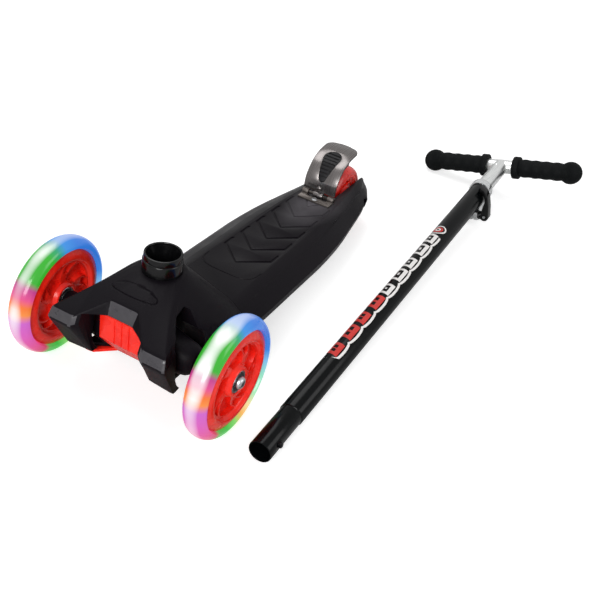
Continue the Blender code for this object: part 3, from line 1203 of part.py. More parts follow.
def build_clamp():
    """The split collar at the tube's top, its bolt, washer, and the lever that draws it together."""
    inner = TUBE_RADIUS + FIT_GAP
    outer = inner + COLLAR_WALL
    low = COLLAR_FOOT
    high = COLLAR_FOOT + COLLAR_HEIGHT
    ear_half = EAR_SLIT / 2 + EAR_THICKNESS
    across = (0.0, math.pi / 2, 0.0)
    profile = [(outer - 0.001, high), (outer, high - 0.001), (outer, low), (inner, low), (inner, high)]
    collar = turned("clamp_collar", profile, WHEEL_SIDES, closed=True)
    top = EAR_BOTTOM + EAR_HEIGHT
    tip = CLAMP_BOLT_Y + EAR_ROUND
    ear = swept_prism("clamp_ear", [(inner + 0.0004, high - 0.002), (outer + 0.001, high - 0.002),
                                    (CLAMP_BOLT_Y, top), (tip - 0.001, top - 0.003), (tip, LEVER_Z + 0.003),
                                    (tip, LEVER_Z - 0.003), (tip - 0.002, EAR_BOTTOM + 0.001),
                                    (CLAMP_BOLT_Y - 0.002, EAR_BOTTOM), (outer + 0.002, EAR_BOTTOM),
                                    (inner + 0.0004, EAR_BOTTOM + 0.004)], -ear_half, ear_half)
    fuse(collar, TBAR.hold(ear))
    slit = box("ear_slit", (-EAR_SLIT / 2, 0.0, EAR_BOTTOM - 0.01),
               (EAR_SLIT / 2, CLAMP_BOLT_Y + 0.02, high + 0.01))
    cut(collar, TBAR.hold(slit))
    bolt_place = (0.0, CLAMP_BOLT_Y, LEVER_Z)
    hole = rod("ear_hole", CLAMP_BOLT_RADIUS + FIT_GAP, -0.02, 0.02, SMALL_SIDES)
    cut(collar, place(TBAR.hold(hole), bolt_place, across))
    keep(TBAR.hold(collar), "aluminium")
    head = -ear_half - FIT_GAP
    end = head - CLAMP_NUT_HEIGHT
    pivot_x = ear_half + 2.0 * FIT_GAP + WASHER_THICKNESS + CAM_RADIUS
    tip = pivot_x + BOLT_EYE
    profile = [(0.0, tip), (CLAMP_BOLT_RADIUS - BOLT_EYE_CHAMFER, tip),
               (CLAMP_BOLT_RADIUS, tip - BOLT_EYE_CHAMFER), (CLAMP_BOLT_RADIUS, head),
               (CLAMP_NUT_RADIUS, head), (CLAMP_NUT_RADIUS, end + 0.0015), (CLAMP_NUT_RADIUS - 0.0015, end),
               (0.0, end)]
    bolt = turned("clamp_bolt", profile, SMALL_SIDES)
    pin_hole = rod("bolt_pin_hole", LEVER_PIN_RADIUS + FIT_GAP, -0.01, 0.01, SMALL_SIDES)
    cut(bolt, place(TBAR.hold(pin_hole), (pivot_x, CLAMP_BOLT_Y, LEVER_Z)))
    keep(place(TBAR.hold(bolt), bolt_place, across), "steel")
    washer = ring("cam_washer", CLAMP_BOLT_RADIUS + FIT_GAP, CAM_RADIUS, ear_half + FIT_GAP,
                  ear_half + FIT_GAP + WASHER_THICKNESS, ROUND_SIDES)
    keep(place(TBAR.hold(washer), bolt_place, across), "black_plastic")
    build_lever((pivot_x, CLAMP_BOLT_Y, LEVER_Z), outer + LEVER_GAP)


def build_lever(pivot, clear):
    """The cam lever: it turns on a pin along the tube, and its arm wraps round the collar's side."""
    carrier = TBAR.carrier("lever_axis", Matrix.Translation(pivot))
    half = LEVER_WIDTH / 2
    far = clear + LEVER_THICKNESS
    outline = []
    for i in range(13):
        angle = math.radians(-15.0 + i * 225.0 / 12)
        outline.append((pivot[0] + CAM_RADIUS * math.cos(angle), pivot[1] + CAM_RADIUS * math.sin(angle)))
    inner_start = math.radians(32.0)
    outline.append((clear * math.cos(inner_start) - 0.001, clear * math.sin(inner_start) + 0.004))
    for i in range(7):
        angle = inner_start - (inner_start + LEVER_WRAP) * i / 6
        outline.append((clear * math.cos(angle), clear * math.sin(angle)))
    for i in range(7):
        angle = -LEVER_WRAP + LEVER_WRAP * i / 6
        outline.append((far * math.cos(angle), far * math.sin(angle)))
    outline.append((far + 0.0006, pivot[1] * 0.45))
    lever = prism("clamp_lever", [(x - pivot[0], y - pivot[1]) for x, y in outline], -half, half)
    slot = CLAMP_BOLT_RADIUS + 2.0 * FIT_GAP
    sweep = FIT_GAP + max(math.hypot(BOLT_EYE, CLAMP_BOLT_RADIUS - BOLT_EYE_CHAMFER),
                          math.hypot(BOLT_EYE - BOLT_EYE_CHAMFER, CLAMP_BOLT_RADIUS))
    fork = box("lever_fork", (-CAM_RADIUS - 0.002, -sweep, -slot), (sweep, CAM_RADIUS + 0.002, slot))
    cut(lever, place(TBAR.hold(fork, carrier), pivot))
    bore = rod("lever_bore", LEVER_PIN_RADIUS + FIT_GAP, -LEVER_WIDTH, LEVER_WIDTH, SMALL_SIDES)
    cut(lever, place(TBAR.hold(bore, carrier), pivot))
    keep(place(TBAR.hold(lever, carrier), pivot), "black_plastic")
    pin = rod("lever_pin", LEVER_PIN_RADIUS, -half - 0.0005, half + 0.0005, SMALL_SIDES)
    keep(place(TBAR.hold(pin), pivot), "steel")


def build_handlebar():
    """The stem with the cross bar welded on, hollow throughout, and the two rubber grips."""
    carrier = TBAR.carrier("stem_axis", Matrix.Translation((0.0, 0.0, BAR_HEIGHT)))
    across = (0.0, math.pi / 2, 0.0)
    bore = STEM_RADIUS - STEM_WALL
    stem = rod("handlebar", STEM_RADIUS, STEM_FOOT, BAR_HEIGHT, ROUND_SIDES)
    bar = rod("cross_bar", BAR_RADIUS, -BAR_HALF_LENGTH, BAR_HALF_LENGTH, ROUND_SIDES)
    fuse(stem, place(TBAR.hold(bar, carrier), (0.0, 0.0, BAR_HEIGHT), across))
    hollow = rod("stem_bore", bore, STEM_FOOT - 0.01, BAR_HEIGHT, ROUND_SIDES)
    cut(stem, TBAR.hold(hollow, carrier))
    hollow = rod("bar_bore", BAR_RADIUS - BAR_WALL, -BAR_HALF_LENGTH - 0.01, BAR_HALF_LENGTH + 0.01, ROUND_SIDES)
    cut(stem, place(TBAR.hold(hollow, carrier), (0.0, 0.0, BAR_HEIGHT), across))
    groove = box("stem_groove", (-STEM_GROOVE_WIDTH / 2, -STEM_RADIUS - 0.01, STEM_FOOT + 0.006),
                 (STEM_GROOVE_WIDTH / 2, -STEM_RADIUS + STEM_GROOVE_DEPTH, BAR_HEIGHT - 0.016))
    cut(stem, TBAR.hold(groove, carrier))
    keep(TBAR.hold(stem, carrier), "aluminium")
    build_grips(carrier)


def build_grips(carrier):
    ball_centre = GRIP_CENTRES / 2
    inner = BAR_RADIUS + FIT_GAP
    flange_end = GRIP_INNER + FLANGE_WIDTH
    profile = [(0.0, ball_centre + BALL_RADIUS)]
    for i in range(1, 7):
        angle = math.radians(90.0 - i * 22.0)
        profile.append((BALL_RADIUS * math.cos(angle), ball_centre + BALL_RADIUS * math.sin(angle)))
    wave_start = ball_centre - BALL_RADIUS * 0.75
    for i in range(2 * GRIP_WAVES + 1):
        wave = GRIP_WAVE if i % 2 else -GRIP_WAVE
        profile.append((GRIP_RADIUS + wave, wave_start + (flange_end - wave_start) * i / (2 * GRIP_WAVES)))
    profile += [(FLANGE_RADIUS, flange_end - 0.0005), (FLANGE_RADIUS, GRIP_INNER + 0.001),
                (FLANGE_RADIUS - 0.001, GRIP_INNER), (inner, GRIP_INNER),
                (inner, BAR_HALF_LENGTH + FIT_GAP), (0.0, BAR_HALF_LENGTH + FIT_GAP)]
    for side, sign in (("left", -1), ("right", 1)):
        grip = turned(side + "_grip", profile, SMALL_SIDES)
        outwards = (0.0, sign * math.pi / 2, 0.0)
        keep(place(TBAR.hold(grip, carrier), (0.0, 0.0, BAR_HEIGHT), outwards), "rubber")


def build_lock_button():
    """The push button in the plug and the bent leaf that carries it."""
    carrier = TBAR.carrier("button_axis", Matrix.Translation((PLUG_RADIUS, 0.0, BUTTON_HEIGHT)))
    wall = PLUG_RADIUS - TUBE_WALL
    tip = PLUG_RADIUS + BUTTON_PROUD
    seat = math.sqrt(wall ** 2 - BUTTON_HEAD ** 2) - FIT_GAP
    back = seat - BUTTON_FLANGE
    profile = [(0.0, tip), (BUTTON_RADIUS * 0.6, tip - 0.0003), (BUTTON_RADIUS, tip - 0.0012),
               (BUTTON_RADIUS, seat), (BUTTON_HEAD, seat), (BUTTON_HEAD, back),
               (0.0, back)]
    button = turned("lock_button", profile, SMALL_SIDES)
    keep(place(TBAR.hold(button, carrier), (0.0, 0.0, BUTTON_HEIGHT), (0.0, math.pi / 2, 0.0)), "steel")
    outer = back - FIT_GAP
    far = -(wall - BUTTON_PROUD - 0.0006)
    foot = BUTTON_HEIGHT - BUTTON_HEAD
    bend = foot + CLIP_LENGTH
    thick = CLIP_THICKNESS
    outline = [(outer, foot), (outer, bend - 0.008), (outer - 0.004, bend - 0.0015), (0.0, bend),
               (far + 0.004, bend - 0.0015), (far, bend - 0.008), (far, foot), (far + thick, foot),
               (far + thick, bend - 0.0085), (far + 0.004 + thick * 0.7, bend - 0.0015 - thick),
               (0.0, bend - thick), (outer - 0.004 - thick * 0.7, bend - 0.0015 - thick),
               (outer - thick, bend - 0.0085), (outer - thick, foot)]
    clip = fore_prism("button_clip", outline, -CLIP_WIDTH / 2, CLIP_WIDTH / 2)
    keep(TBAR.hold(clip, carrier), "steel")


# Place of the T-bar on the floor

def tbar_pose():
    """The T-bar lies on its tube's lower end, the nut of its clamp and its lower ball."""
    arm = GRIP_CENTRES / 2
    nut_end = EAR_SLIT / 2 + EAR_THICKNESS + FIT_GAP + CLAMP_NUT_HEIGHT - 0.0015
    tilt, roll = 0.0, 0.0
    for _ in range(60):
        foot = PLUG_RADIUS * math.cos(tilt)
        drop = (nut_end * math.sin(roll) + CLAMP_BOLT_Y * math.cos(roll)) * math.cos(tilt)
        rim = CLAMP_NUT_RADIUS * math.sqrt(1.0 - (math.sin(roll) * math.cos(tilt)) ** 2)
        tilt = math.asin((drop + rim - foot) / LEVER_Z)
        ball = foot + BAR_HEIGHT * math.sin(tilt) - BALL_RADIUS
        roll = math.asin(ball / (arm * math.cos(tilt)))
    yaw = TBAR_YAW
    along = Vector((-math.sin(yaw) * math.cos(tilt), math.cos(yaw) * math.cos(tilt), math.sin(tilt)))
    level = Vector((math.cos(yaw), math.sin(yaw), 0.0))
    up = level.cross(along)
    across = math.cos(roll) * level + math.sin(roll) * up
    below = along.cross(across)
    turn = Matrix((across, below, along)).transposed().to_4x4()
    return Matrix.Translation((TBAR_X, TBAR_Y, PLUG_RADIUS * math.cos(tilt))) @ turn


def settle():
    """Put the row's origin on the floor under the middle of everything."""
    TBAR.root.matrix_local = tbar_pose()
    bpy.context.view_layer.update()
    graph = bpy.context.evaluated_depsgraph_get()
    low = np.full(3, np.inf)
    high = np.full(3, -np.inf)
    for piece in PARTS.objects:
        if piece.type != "MESH":
            continue
        evaluated = piece.evaluated_get(graph)
        mesh = evaluated.to_mesh()
        points = np.empty(len(mesh.vertices) * 3)
        mesh.vertices.foreach_get("co", points)
        turn = np.array(evaluated.matrix_world)
        points = points.reshape(-1, 3) @ turn[:3, :3].T + turn[:3, 3]
        evaluated.to_mesh_clear()
        low = np.minimum(low, points.min(axis=0))
        high = np.maximum(high, points.max(axis=0))
    shift = Matrix.Translation((-(low[0] + high[0]) / 2, -(low[1] + high[1]) / 2, -low[2]))
    SCOOTER.root.matrix_local = shift
    TBAR.root.matrix_local = shift @ TBAR.root.matrix_local
    print("size %.1f x %.1f x %.1f mm" % tuple((high - low) * 1000.0))
    print("shift", [round(v, 6) for v in shift.translation])


SCOOTER.carrier("truck_axis", Matrix.Translation(PIVOT) @ Matrix.Rotation(KINGPIN_RAKE, 4, "X"))
build_front_wheels()
build_front_axles()
build_rear_wheel()
build_rear_axle()
build_deck()
build_hood()
build_socket()
build_hood_screws()
build_truck()
build_kingpin()
build_brake()
build_tube()
build_clamp()
build_handlebar()
build_lock_button()
settle()
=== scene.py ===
"""The looks of a three-wheel kids scooter whose T-bar is taken off and laid beside the deck.

The scooter's front faces -Y. Left and right are as seen from the front, so left pieces lie towards -X.
"""
import json
import math

import bpy
from mathutils import Matrix, Vector
from mathutils.bvhtree import BVHTree


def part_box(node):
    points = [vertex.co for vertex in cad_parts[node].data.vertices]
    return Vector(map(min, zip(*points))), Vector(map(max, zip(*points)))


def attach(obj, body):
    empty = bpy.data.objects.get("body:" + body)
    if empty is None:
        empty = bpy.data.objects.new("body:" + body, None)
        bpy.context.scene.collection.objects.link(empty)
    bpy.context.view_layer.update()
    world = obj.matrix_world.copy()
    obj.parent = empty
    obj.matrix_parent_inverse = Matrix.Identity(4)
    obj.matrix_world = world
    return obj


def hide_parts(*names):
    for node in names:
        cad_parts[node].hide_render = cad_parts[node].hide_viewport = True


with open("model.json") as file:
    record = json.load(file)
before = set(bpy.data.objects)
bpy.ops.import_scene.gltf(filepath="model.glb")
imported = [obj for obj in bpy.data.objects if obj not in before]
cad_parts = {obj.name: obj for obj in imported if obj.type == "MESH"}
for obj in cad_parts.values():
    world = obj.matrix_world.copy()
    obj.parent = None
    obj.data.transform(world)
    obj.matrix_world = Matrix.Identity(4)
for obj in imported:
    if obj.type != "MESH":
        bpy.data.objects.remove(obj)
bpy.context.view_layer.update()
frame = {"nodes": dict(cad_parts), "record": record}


# Front tyres. Each is clear polyurethane cast round the red core, about 120 mm across, and lit from
# inside by lamps on a ring, so the tyre itself glows in soft bands that stay with the wheel.
# The tyre has a half-round tread over short flat walls.

left_low, left_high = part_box("left_tyre")
right_low, right_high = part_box("right_tyre")
WHEEL_RADIUS = (left_high[2] - left_low[2]) / 2
WHEEL_WIDTH = left_high[0] - left_low[0]
HALF_TRACK = ((right_low[0] + right_high[0]) - (left_low[0] + left_high[0])) / 4
AXLE_FOOT = Vector(((left_low[0] + right_high[0]) / 2, (left_low[1] + left_high[1]) / 2, 0.0))
FRONT_CORE_RADIUS = 0.0490
TREAD_DEPTH = 0.0092
FIT_GAP = 0.0003
MERGE_GAP = 0.000002
SHOULDER = 0.0030
BAND_WANDER = 0.006
DECK_UNIT = Matrix.Translation(AXLE_FOOT)


def linear(code):
    """An sRGB hex colour as linear red, green, blue and alpha."""
    parts = [int(code[i:i + 2], 16) / 255.0 for i in (1, 3, 5)]
    return (*[p / 12.92 if p <= 0.04045 else ((p + 0.055) / 1.055) ** 2.4 for p in parts], 1.0)


def node(tree, kind, settings=(), **links):
    """Add a shader node, set its settings, and link or set its inputs, named with _ for a space."""
    made = tree.nodes.new(kind)
    for name, value in dict(settings).items():
        setattr(made, name, value)
    for name, value in links.items():
        socket = made.inputs[int(name[1:])] if name[1:].isdigit() else made.inputs[name.replace("_", " ")]
        if isinstance(value, bpy.types.NodeSocket):
            tree.links.new(value, socket)
        else:
            socket.default_value = value
    return made


def finish(name, colour, roughness, **values):
    """A new material: its tree, its Principled shader and its object coordinates."""
    made = bpy.data.materials.new(name)
    made.use_nodes = True
    tree = made.node_tree
    shader = tree.nodes["Principled BSDF"]
    shader.inputs["Base Color"].default_value = linear(colour)
    shader.inputs["Roughness"].default_value = roughness
    for socket, value in values.items():
        shader.inputs[socket.replace("_", " ")].default_value = value
    place = tree.nodes.new("ShaderNodeTexCoord").outputs["Object"]
    return made, tree, shader, place


def spaced(millimetres):
    """The scale of a pattern whose marks are this far apart."""
    return 1000.0 / millimetres


def drawn(name, points):
    """A line from point to point, drawn by extruding one vertex; the new piece is left in edit mode."""
    bpy.ops.object.select_all(action="DESELECT")
    bpy.ops.mesh.primitive_plane_add(size=0.01)
    piece = bpy.context.object
    piece.name = name
    piece.data.name = name
    bpy.ops.object.mode_set(mode="EDIT")
    bpy.ops.mesh.select_all(action="SELECT")
    bpy.ops.mesh.merge(type="CENTER")
    bpy.ops.transform.translate(value=points[0])
    for start, end in zip(points, points[1:]):
        step = Vector(end) - Vector(start)
        bpy.ops.mesh.extrude_region_move(TRANSFORM_OT_translate={"value": step})
    bpy.ops.mesh.select_all(action="SELECT")
    return piece


def turned(name, profile, sides=72, closed=True):
    """A profile of (radius, height) points spun round the local Z axis."""
    line = [(radius, 0.0, height) for radius, height in profile]
    piece = drawn(name, line + line[:1] if closed else line)
    bpy.ops.mesh.spin(steps=sides, angle=2.0 * math.pi, center=(0, 0, 0), axis=(0, 0, 1))
    bpy.ops.mesh.select_all(action="SELECT")
    bpy.ops.mesh.remove_doubles(threshold=MERGE_GAP)
    bpy.ops.mesh.normals_make_consistent(inside=False)
    bpy.ops.object.mode_set(mode="OBJECT")
    return piece


def apply_modifiers(piece):
    """Make a piece's modifiers part of its mesh, in their order."""
    bpy.ops.object.select_all(action="DESELECT")
    piece.hide_set(False)
    piece.select_set(True)
    bpy.context.view_layer.objects.active = piece
    for modifier in list(piece.modifiers):
        bpy.ops.object.modifier_apply(modifier=modifier.name)
    return piece


def soften(piece, width, segments=2, sharp=32.0, smooth=40.0):
    """Round the hard edges of a piece and shade the rest smooth."""
    if width:
        bevel = piece.modifiers.new("edge_rounding", "BEVEL")
        bevel.width = width
        bevel.segments = segments
        bevel.limit_method = "ANGLE"
        bevel.angle_limit = math.radians(sharp)
        bevel.use_clamp_overlap = True
    apply_modifiers(piece)
    bpy.ops.object.shade_smooth_by_angle(angle=math.radians(smooth))
    return piece


def settle(piece, place, body, slot, paint, *nodes):
    """Put a piece at its place in the row, with its finish, on its body, for the nodes it stands for."""
    piece.data.transform(place)
    piece.data.materials.clear()
    piece.data.materials.append(paint)
    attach(piece, body)
    if nodes:
        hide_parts(*nodes)
    return piece


def copied(piece, name):
    """A copy of a piece with a mesh of its own."""
    twin = piece.copy()
    twin.data = piece.data.copy()
    twin.name = name
    bpy.context.scene.collection.objects.link(twin)
    return twin


# The tyre's colours round the wheel, as shares of a turn
GLOW_BANDS = (
    (0.000, "#c860c4"), (0.050, "#d458b4"), (0.110, "#dc4c8c"), (0.150, "#c84468"), (0.172, "#58b85a"),
    (0.215, "#3cbc48"), (0.262, "#84d468"), (0.300, "#f4b45c"), (0.335, "#f2dc9c"), (0.372, "#a4e4b4"),
    (0.430, "#8fdcc0"), (0.475, "#7cbce8"), (0.520, "#3480dc"), (0.600, "#2c74d4"), (0.700, "#2e78d6"),
    (0.752, "#3a8edc"), (0.778, "#2fa070"), (0.805, "#34ae2a"), (0.885, "#36ac2c"), (0.904, "#b83c88"),
    (0.932, "#de4c8c"), (0.955, "#ee7428"), (0.976, "#f08c3c"), (1.000, "#c860c4"))
# How white the painted highlight along the crown of the tread gets round the wheel
CROWN_HIGHLIGHT = (
    (0.000, 0.58), (0.060, 0.46), (0.120, 0.34), (0.200, 0.42), (0.340, 0.80), (0.460, 0.62), (0.550, 0.26),
    (0.700, 0.34), (0.765, 0.50), (0.800, 1.00), (0.885, 1.00), (0.910, 0.55), (0.935, 0.55), (0.965, 1.00),
    (1.000, 0.58))


def set_stops(ramp, marks):
    """Give a colour ramp its stops, as (place, colour) pairs from the first to the last."""
    stops = ramp.color_ramp.elements
    for stop, (at, colour) in zip(stops, (marks[0], marks[-1])):
        stop.position = at
        stop.color = colour
    for at, colour in marks[1:-1]:
        stops.new(at).color = colour


CLEAR_TYRE, tree, shader, place = finish("lit_clear_polyurethane", "#c8dcf0", 0.20, Specular_IOR_Level=0.3,
                                         Coat_Weight=0.25, Coat_Roughness=0.08)
# Light-filled polyurethane: clear and glossy like wet glass, glowing with the lamps' colours in bands that
# run round the wheel. The whiter core along the middle of the tread is a painted highlight, and a fifth of
# the glow, highlight included, is painted into the base colour as well
wander = node(tree, "ShaderNodeTexNoise", Vector=place, Scale=spaced(45.5), Detail=1.0)
spread = node(tree, "ShaderNodeVectorMath", {"operation": "MULTIPLY_ADD"}, _0=wander.outputs["Color"],
              _1=(BAND_WANDER, BAND_WANDER, BAND_WANDER), _2=place)
parts = node(tree, "ShaderNodeSeparateXYZ", _0=spread.outputs["Vector"])
back = node(tree, "ShaderNodeMath", {"operation": "SUBTRACT"}, _0=parts.outputs["Y"],
            _1=AXLE_FOOT.y + BAND_WANDER / 2)
rise = node(tree, "ShaderNodeMath", {"operation": "SUBTRACT"}, _0=parts.outputs["Z"],
            _1=WHEEL_RADIUS + BAND_WANDER / 2)
angle = node(tree, "ShaderNodeMath", {"operation": "ARCTAN2"}, _0=rise.outputs[0], _1=back.outputs[0])
turn = node(tree, "ShaderNodeMath", {"operation": "MULTIPLY_ADD"}, _0=angle.outputs[0],
            _1=0.5 / math.pi, _2=0.5)
bands = node(tree, "ShaderNodeValToRGB", Fac=turn.outputs[0])
set_stops(bands, [(at, linear(code)) for at, code in GLOW_BANDS])
core = node(tree, "ShaderNodeValToRGB", Fac=turn.outputs[0])
set_stops(core, [(at, (level, level, level, 1.0)) for at, level in CROWN_HIGHLIGHT])
out = node(tree, "ShaderNodeCombineXYZ", _0=back.outputs[0], _1=rise.outputs[0])
reach = node(tree, "ShaderNodeVectorMath", {"operation": "LENGTH"}, _0=out.outputs[0])
crown = node(tree, "ShaderNodeMapRange", _0=reach.outputs["Value"], _1=WHEEL_RADIUS - 0.0019,
             _2=WHEEL_RADIUS + 0.0004, _3=0.0, _4=1.0)
# Painted highlight: the crown of the tread is whitened, in the glow and in the base colour alike
crown_highlight_share = node(tree, "ShaderNodeMath", {"operation": "MULTIPLY"}, _0=crown.outputs["Result"],
            _1=core.outputs["Color"])
lit = node(tree, "ShaderNodeMixRGB", Fac=crown_highlight_share.outputs[0], Color1=bands.outputs["Color"],
           Color2=linear("#ffffff"))
# Painted glow: a fifth of the lamps' colours, with the painted highlight, is mixed into the base colour
painted_glow_base = node(tree, "ShaderNodeMixRGB", Fac=0.80, Color1=lit.outputs["Color"], Color2=linear("#141418"))
tree.links.new(painted_glow_base.outputs["Color"], shader.inputs["Base Color"])
tree.links.new(lit.outputs["Color"], shader.inputs["Emission Color"])
shader.inputs["Emission Strength"].default_value = 0.88


def tyre(name, radius, width, bore, depth):
    """A tyre about local Z: an elliptic tread over walls that draw in to the core."""
    half = width / 2
    steps = 20
    profile = [(bore, half - SHOULDER)]
    for i in range(steps + 1):
        angle = math.pi / 2 - math.pi * i / steps
        profile.append((radius - depth + depth * math.cos(angle), half * math.sin(angle)))
    profile.append((bore, SHOULDER - half))
    return turned(name, profile, 112)


OUTWARDS = {"left": Matrix.Rotation(-math.pi / 2, 4, "Y"), "right": Matrix.Rotation(math.pi / 2, 4, "Y")}
HUB_PLACE = {side: DECK_UNIT @ Matrix.Translation((sign * HALF_TRACK, 0.0, WHEEL_RADIUS)) @ OUTWARDS[side]
             for side, sign in (("left", -1), ("right", 1))}

clear_tyre = tyre("left_lit_tyre", WHEEL_RADIUS, WHEEL_WIDTH, FRONT_CORE_RADIUS + FIT_GAP, TREAD_DEPTH)
soften(clear_tyre, 0.0)
right_tyre = copied(clear_tyre, "right_lit_tyre")
settle(clear_tyre, HUB_PLACE["left"], "left_wheel", "clear_tyre", CLEAR_TYRE, "left_tyre")
settle(right_tyre, HUB_PLACE["right"], "right_wheel", "clear_tyre", CLEAR_TYRE, "right_tyre")


# Light rings. A milky strip round each front core holds the coil and the lamps that a magnet on the
# axle wakes as the wheel turns. Only a thin edge of it can be made out behind the clear tyre.

# Most values of a noise lie between these two
NOISE_LOW = 0.3
NOISE_HIGH = 0.7


def mottled(tree, shader, pattern, colours=None, roughness=None):
    """Let a pattern take a finish from one colour to another, and from one roughness to another."""
    if colours:
        tint = node(tree, "ShaderNodeMixRGB", Fac=pattern, Color1=linear(colours[0]),
                    Color2=linear(colours[1]))
        tree.links.new(tint.outputs["Color"], shader.inputs["Base Color"])
    if roughness:
        polish = node(tree, "ShaderNodeMapRange", _0=pattern, _1=NOISE_LOW, _2=NOISE_HIGH,
                      _3=roughness[0], _4=roughness[1])
        tree.links.new(polish.outputs["Result"], shader.inputs["Roughness"])


def repaint(paint, *names):
    """Give carried-over CAD nodes their finish."""
    for name in names:
        frame["nodes"][name].data.materials.clear()
        frame["nodes"][name].data.materials.append(paint)


LAMP_STRIP, tree, shader, place = finish("milky_acrylic_lamp_strip", "#f4f0ea", 0.5)
# Frosted acrylic: milky white, and warmer at each lamp behind it
lamps = node(tree, "ShaderNodeTexVoronoi", Vector=place, Scale=spaced(11.1))
halo = node(tree, "ShaderNodeMapRange", _0=lamps.outputs["Distance"], _1=NOISE_LOW, _2=NOISE_HIGH)
mottled(tree, shader, halo.outputs["Result"], ("#fff2dc", "#e6e2dc"))
repaint(LAMP_STRIP, "left_led_ring", "right_led_ring")


# Wheel cores. Each is a glossy red moulding in hard polypropylene: a hub for two bearings, a thin web
# with forked spokes standing out of it on both faces, and a rim that the tyre is cast round.
# The spokes curl one way and part in a Y before the rim.

WEB_HALF = 0.0075
RIM_SHARE = 0.32
RIM_SLOPE = 0.0036
HUB_RADIUS = 0.0145
BEARING_RADIUS = 0.011
BEARING_WIDTH = 0.007
BEARING_INSET = 0.0010
SLEEVE_BORE = 0.0064
POCKET_DEPTH = 0.0055
POCKET_EDGE = 0.0030
SPOKES = 5
SPOKE_CURL = 0.42
# Half a spoke's width at the hub and at the rim, where it parts in two
SPOKE_ROOT = 0.0034
SPOKE_TIP = 0.0085
# Where a spoke parts, how wide the gap between its two arms is, and how much of the curl they take
FORK_SHARE = 0.46
FORK_HALF = 0.0060
FORK_CURL = 0.62
FORK_TURN = 0.36
# The groove round a front core that holds the light ring
RING_GROOVE_HALF = 0.0023
RING_GROOVE_DEPTH = 0.0019

RED_MOULDING, tree, shader, place = finish("glossy_red_polypropylene", "#e5150f", 0.26,
                                           Specular_IOR_Level=0.3, Coat_Weight=0.12,
                                           Coat_Roughness=0.08)
# Moulded gloss: a slow change of red where the melt flowed, and a faint orange-peel skin
flow = node(tree, "ShaderNodeTexNoise", Vector=place, Scale=spaced(16.7), Detail=2.0)
clearer = node(tree, "ShaderNodeMapRange", _0=flow.outputs["Fac"], _1=NOISE_LOW, _2=NOISE_HIGH)
mottled(tree, shader, clearer.outputs["Result"], ("#ea1b10", "#fb3020"))
mottled(tree, shader, flow.outputs["Fac"], roughness=(0.22, 0.32))
peel = node(tree, "ShaderNodeTexNoise", Vector=place, Scale=spaced(1.11), Detail=1.0)
skin = node(tree, "ShaderNodeBump", Strength=0.05, Distance=0.0002, Height=peel.outputs["Fac"])
tree.links.new(skin.outputs["Normal"], shader.inputs["Normal"])


def slab(name, outline, low, high, place=Matrix()):
    """A flat outline of (x, y) points as a closed block between two heights, put at a place."""
    line = [(x, y, low) for x, y in outline]
    piece = drawn(name, line + line[:1])
    bpy.ops.mesh.remove_doubles(threshold=MERGE_GAP)
    bpy.ops.mesh.select_all(action="SELECT")
    bpy.ops.mesh.edge_face_add()
    bpy.ops.mesh.extrude_region_move(TRANSFORM_OT_translate={"value": (0.0, 0.0, high - low)})
    bpy.ops.mesh.select_all(action="SELECT")
    bpy.ops.mesh.normals_make_consistent(inside=False)
    bpy.ops.object.mode_set(mode="OBJECT")
    piece.data.transform(place)
    return piece


def join(pieces):
    """Several meshes as one object, the first of them."""
    bpy.ops.object.select_all(action="DESELECT")
    for piece in pieces:
        piece.select_set(True)
    bpy.context.view_layer.objects.active = pieces[0]
    bpy.ops.object.join()
    return pieces[0]


def carve(piece, cutter, operation="DIFFERENCE"):
    """Cut a piece with a closed cutter, or add the cutter to it, and throw the cutter away."""
    step = piece.modifiers.new("carve", "BOOLEAN")
    step.operation = operation
    step.solver = "EXACT"
    step.use_self = operation == "DIFFERENCE"
    step.object = cutter
    apply_modifiers(piece)
    bpy.data.objects.remove(cutter, do_unlink=True)
    return piece


def rotated(points, angle):
    """Points of an outline turned about its origin."""
    across, up = math.cos(angle), math.sin(angle)
    return [(x * across - y * up, x * up + y * across) for x, y in points]


def sector(inner, outer, first, last, curl, inner_trim, outer_trim, steps=10):
    """A pocket between two curled spokes, from its inner to its outer radius."""
    span = last - first
    shares = [i / steps for i in range(steps + 1)]
    sides = []
    for start, sign in ((first, 1), (last, -1)):
        side = []
        for share in shares:
            radius = inner + (outer - inner) * share
            trim = inner_trim + (outer_trim - inner_trim) * share
            side.append((radius, start + sign * trim / radius + curl * share ** 2))
        sides.append(side)
    end_trim = outer_trim / outer
    arc = [(outer, first + span * share + curl) for share in shares[1:-1]
           if end_trim < span * share < span - end_trim]
    points = sides[0] + arc + sides[1][::-1]
    return [(radius * math.cos(turn), radius * math.sin(turn)) for radius, turn in points]


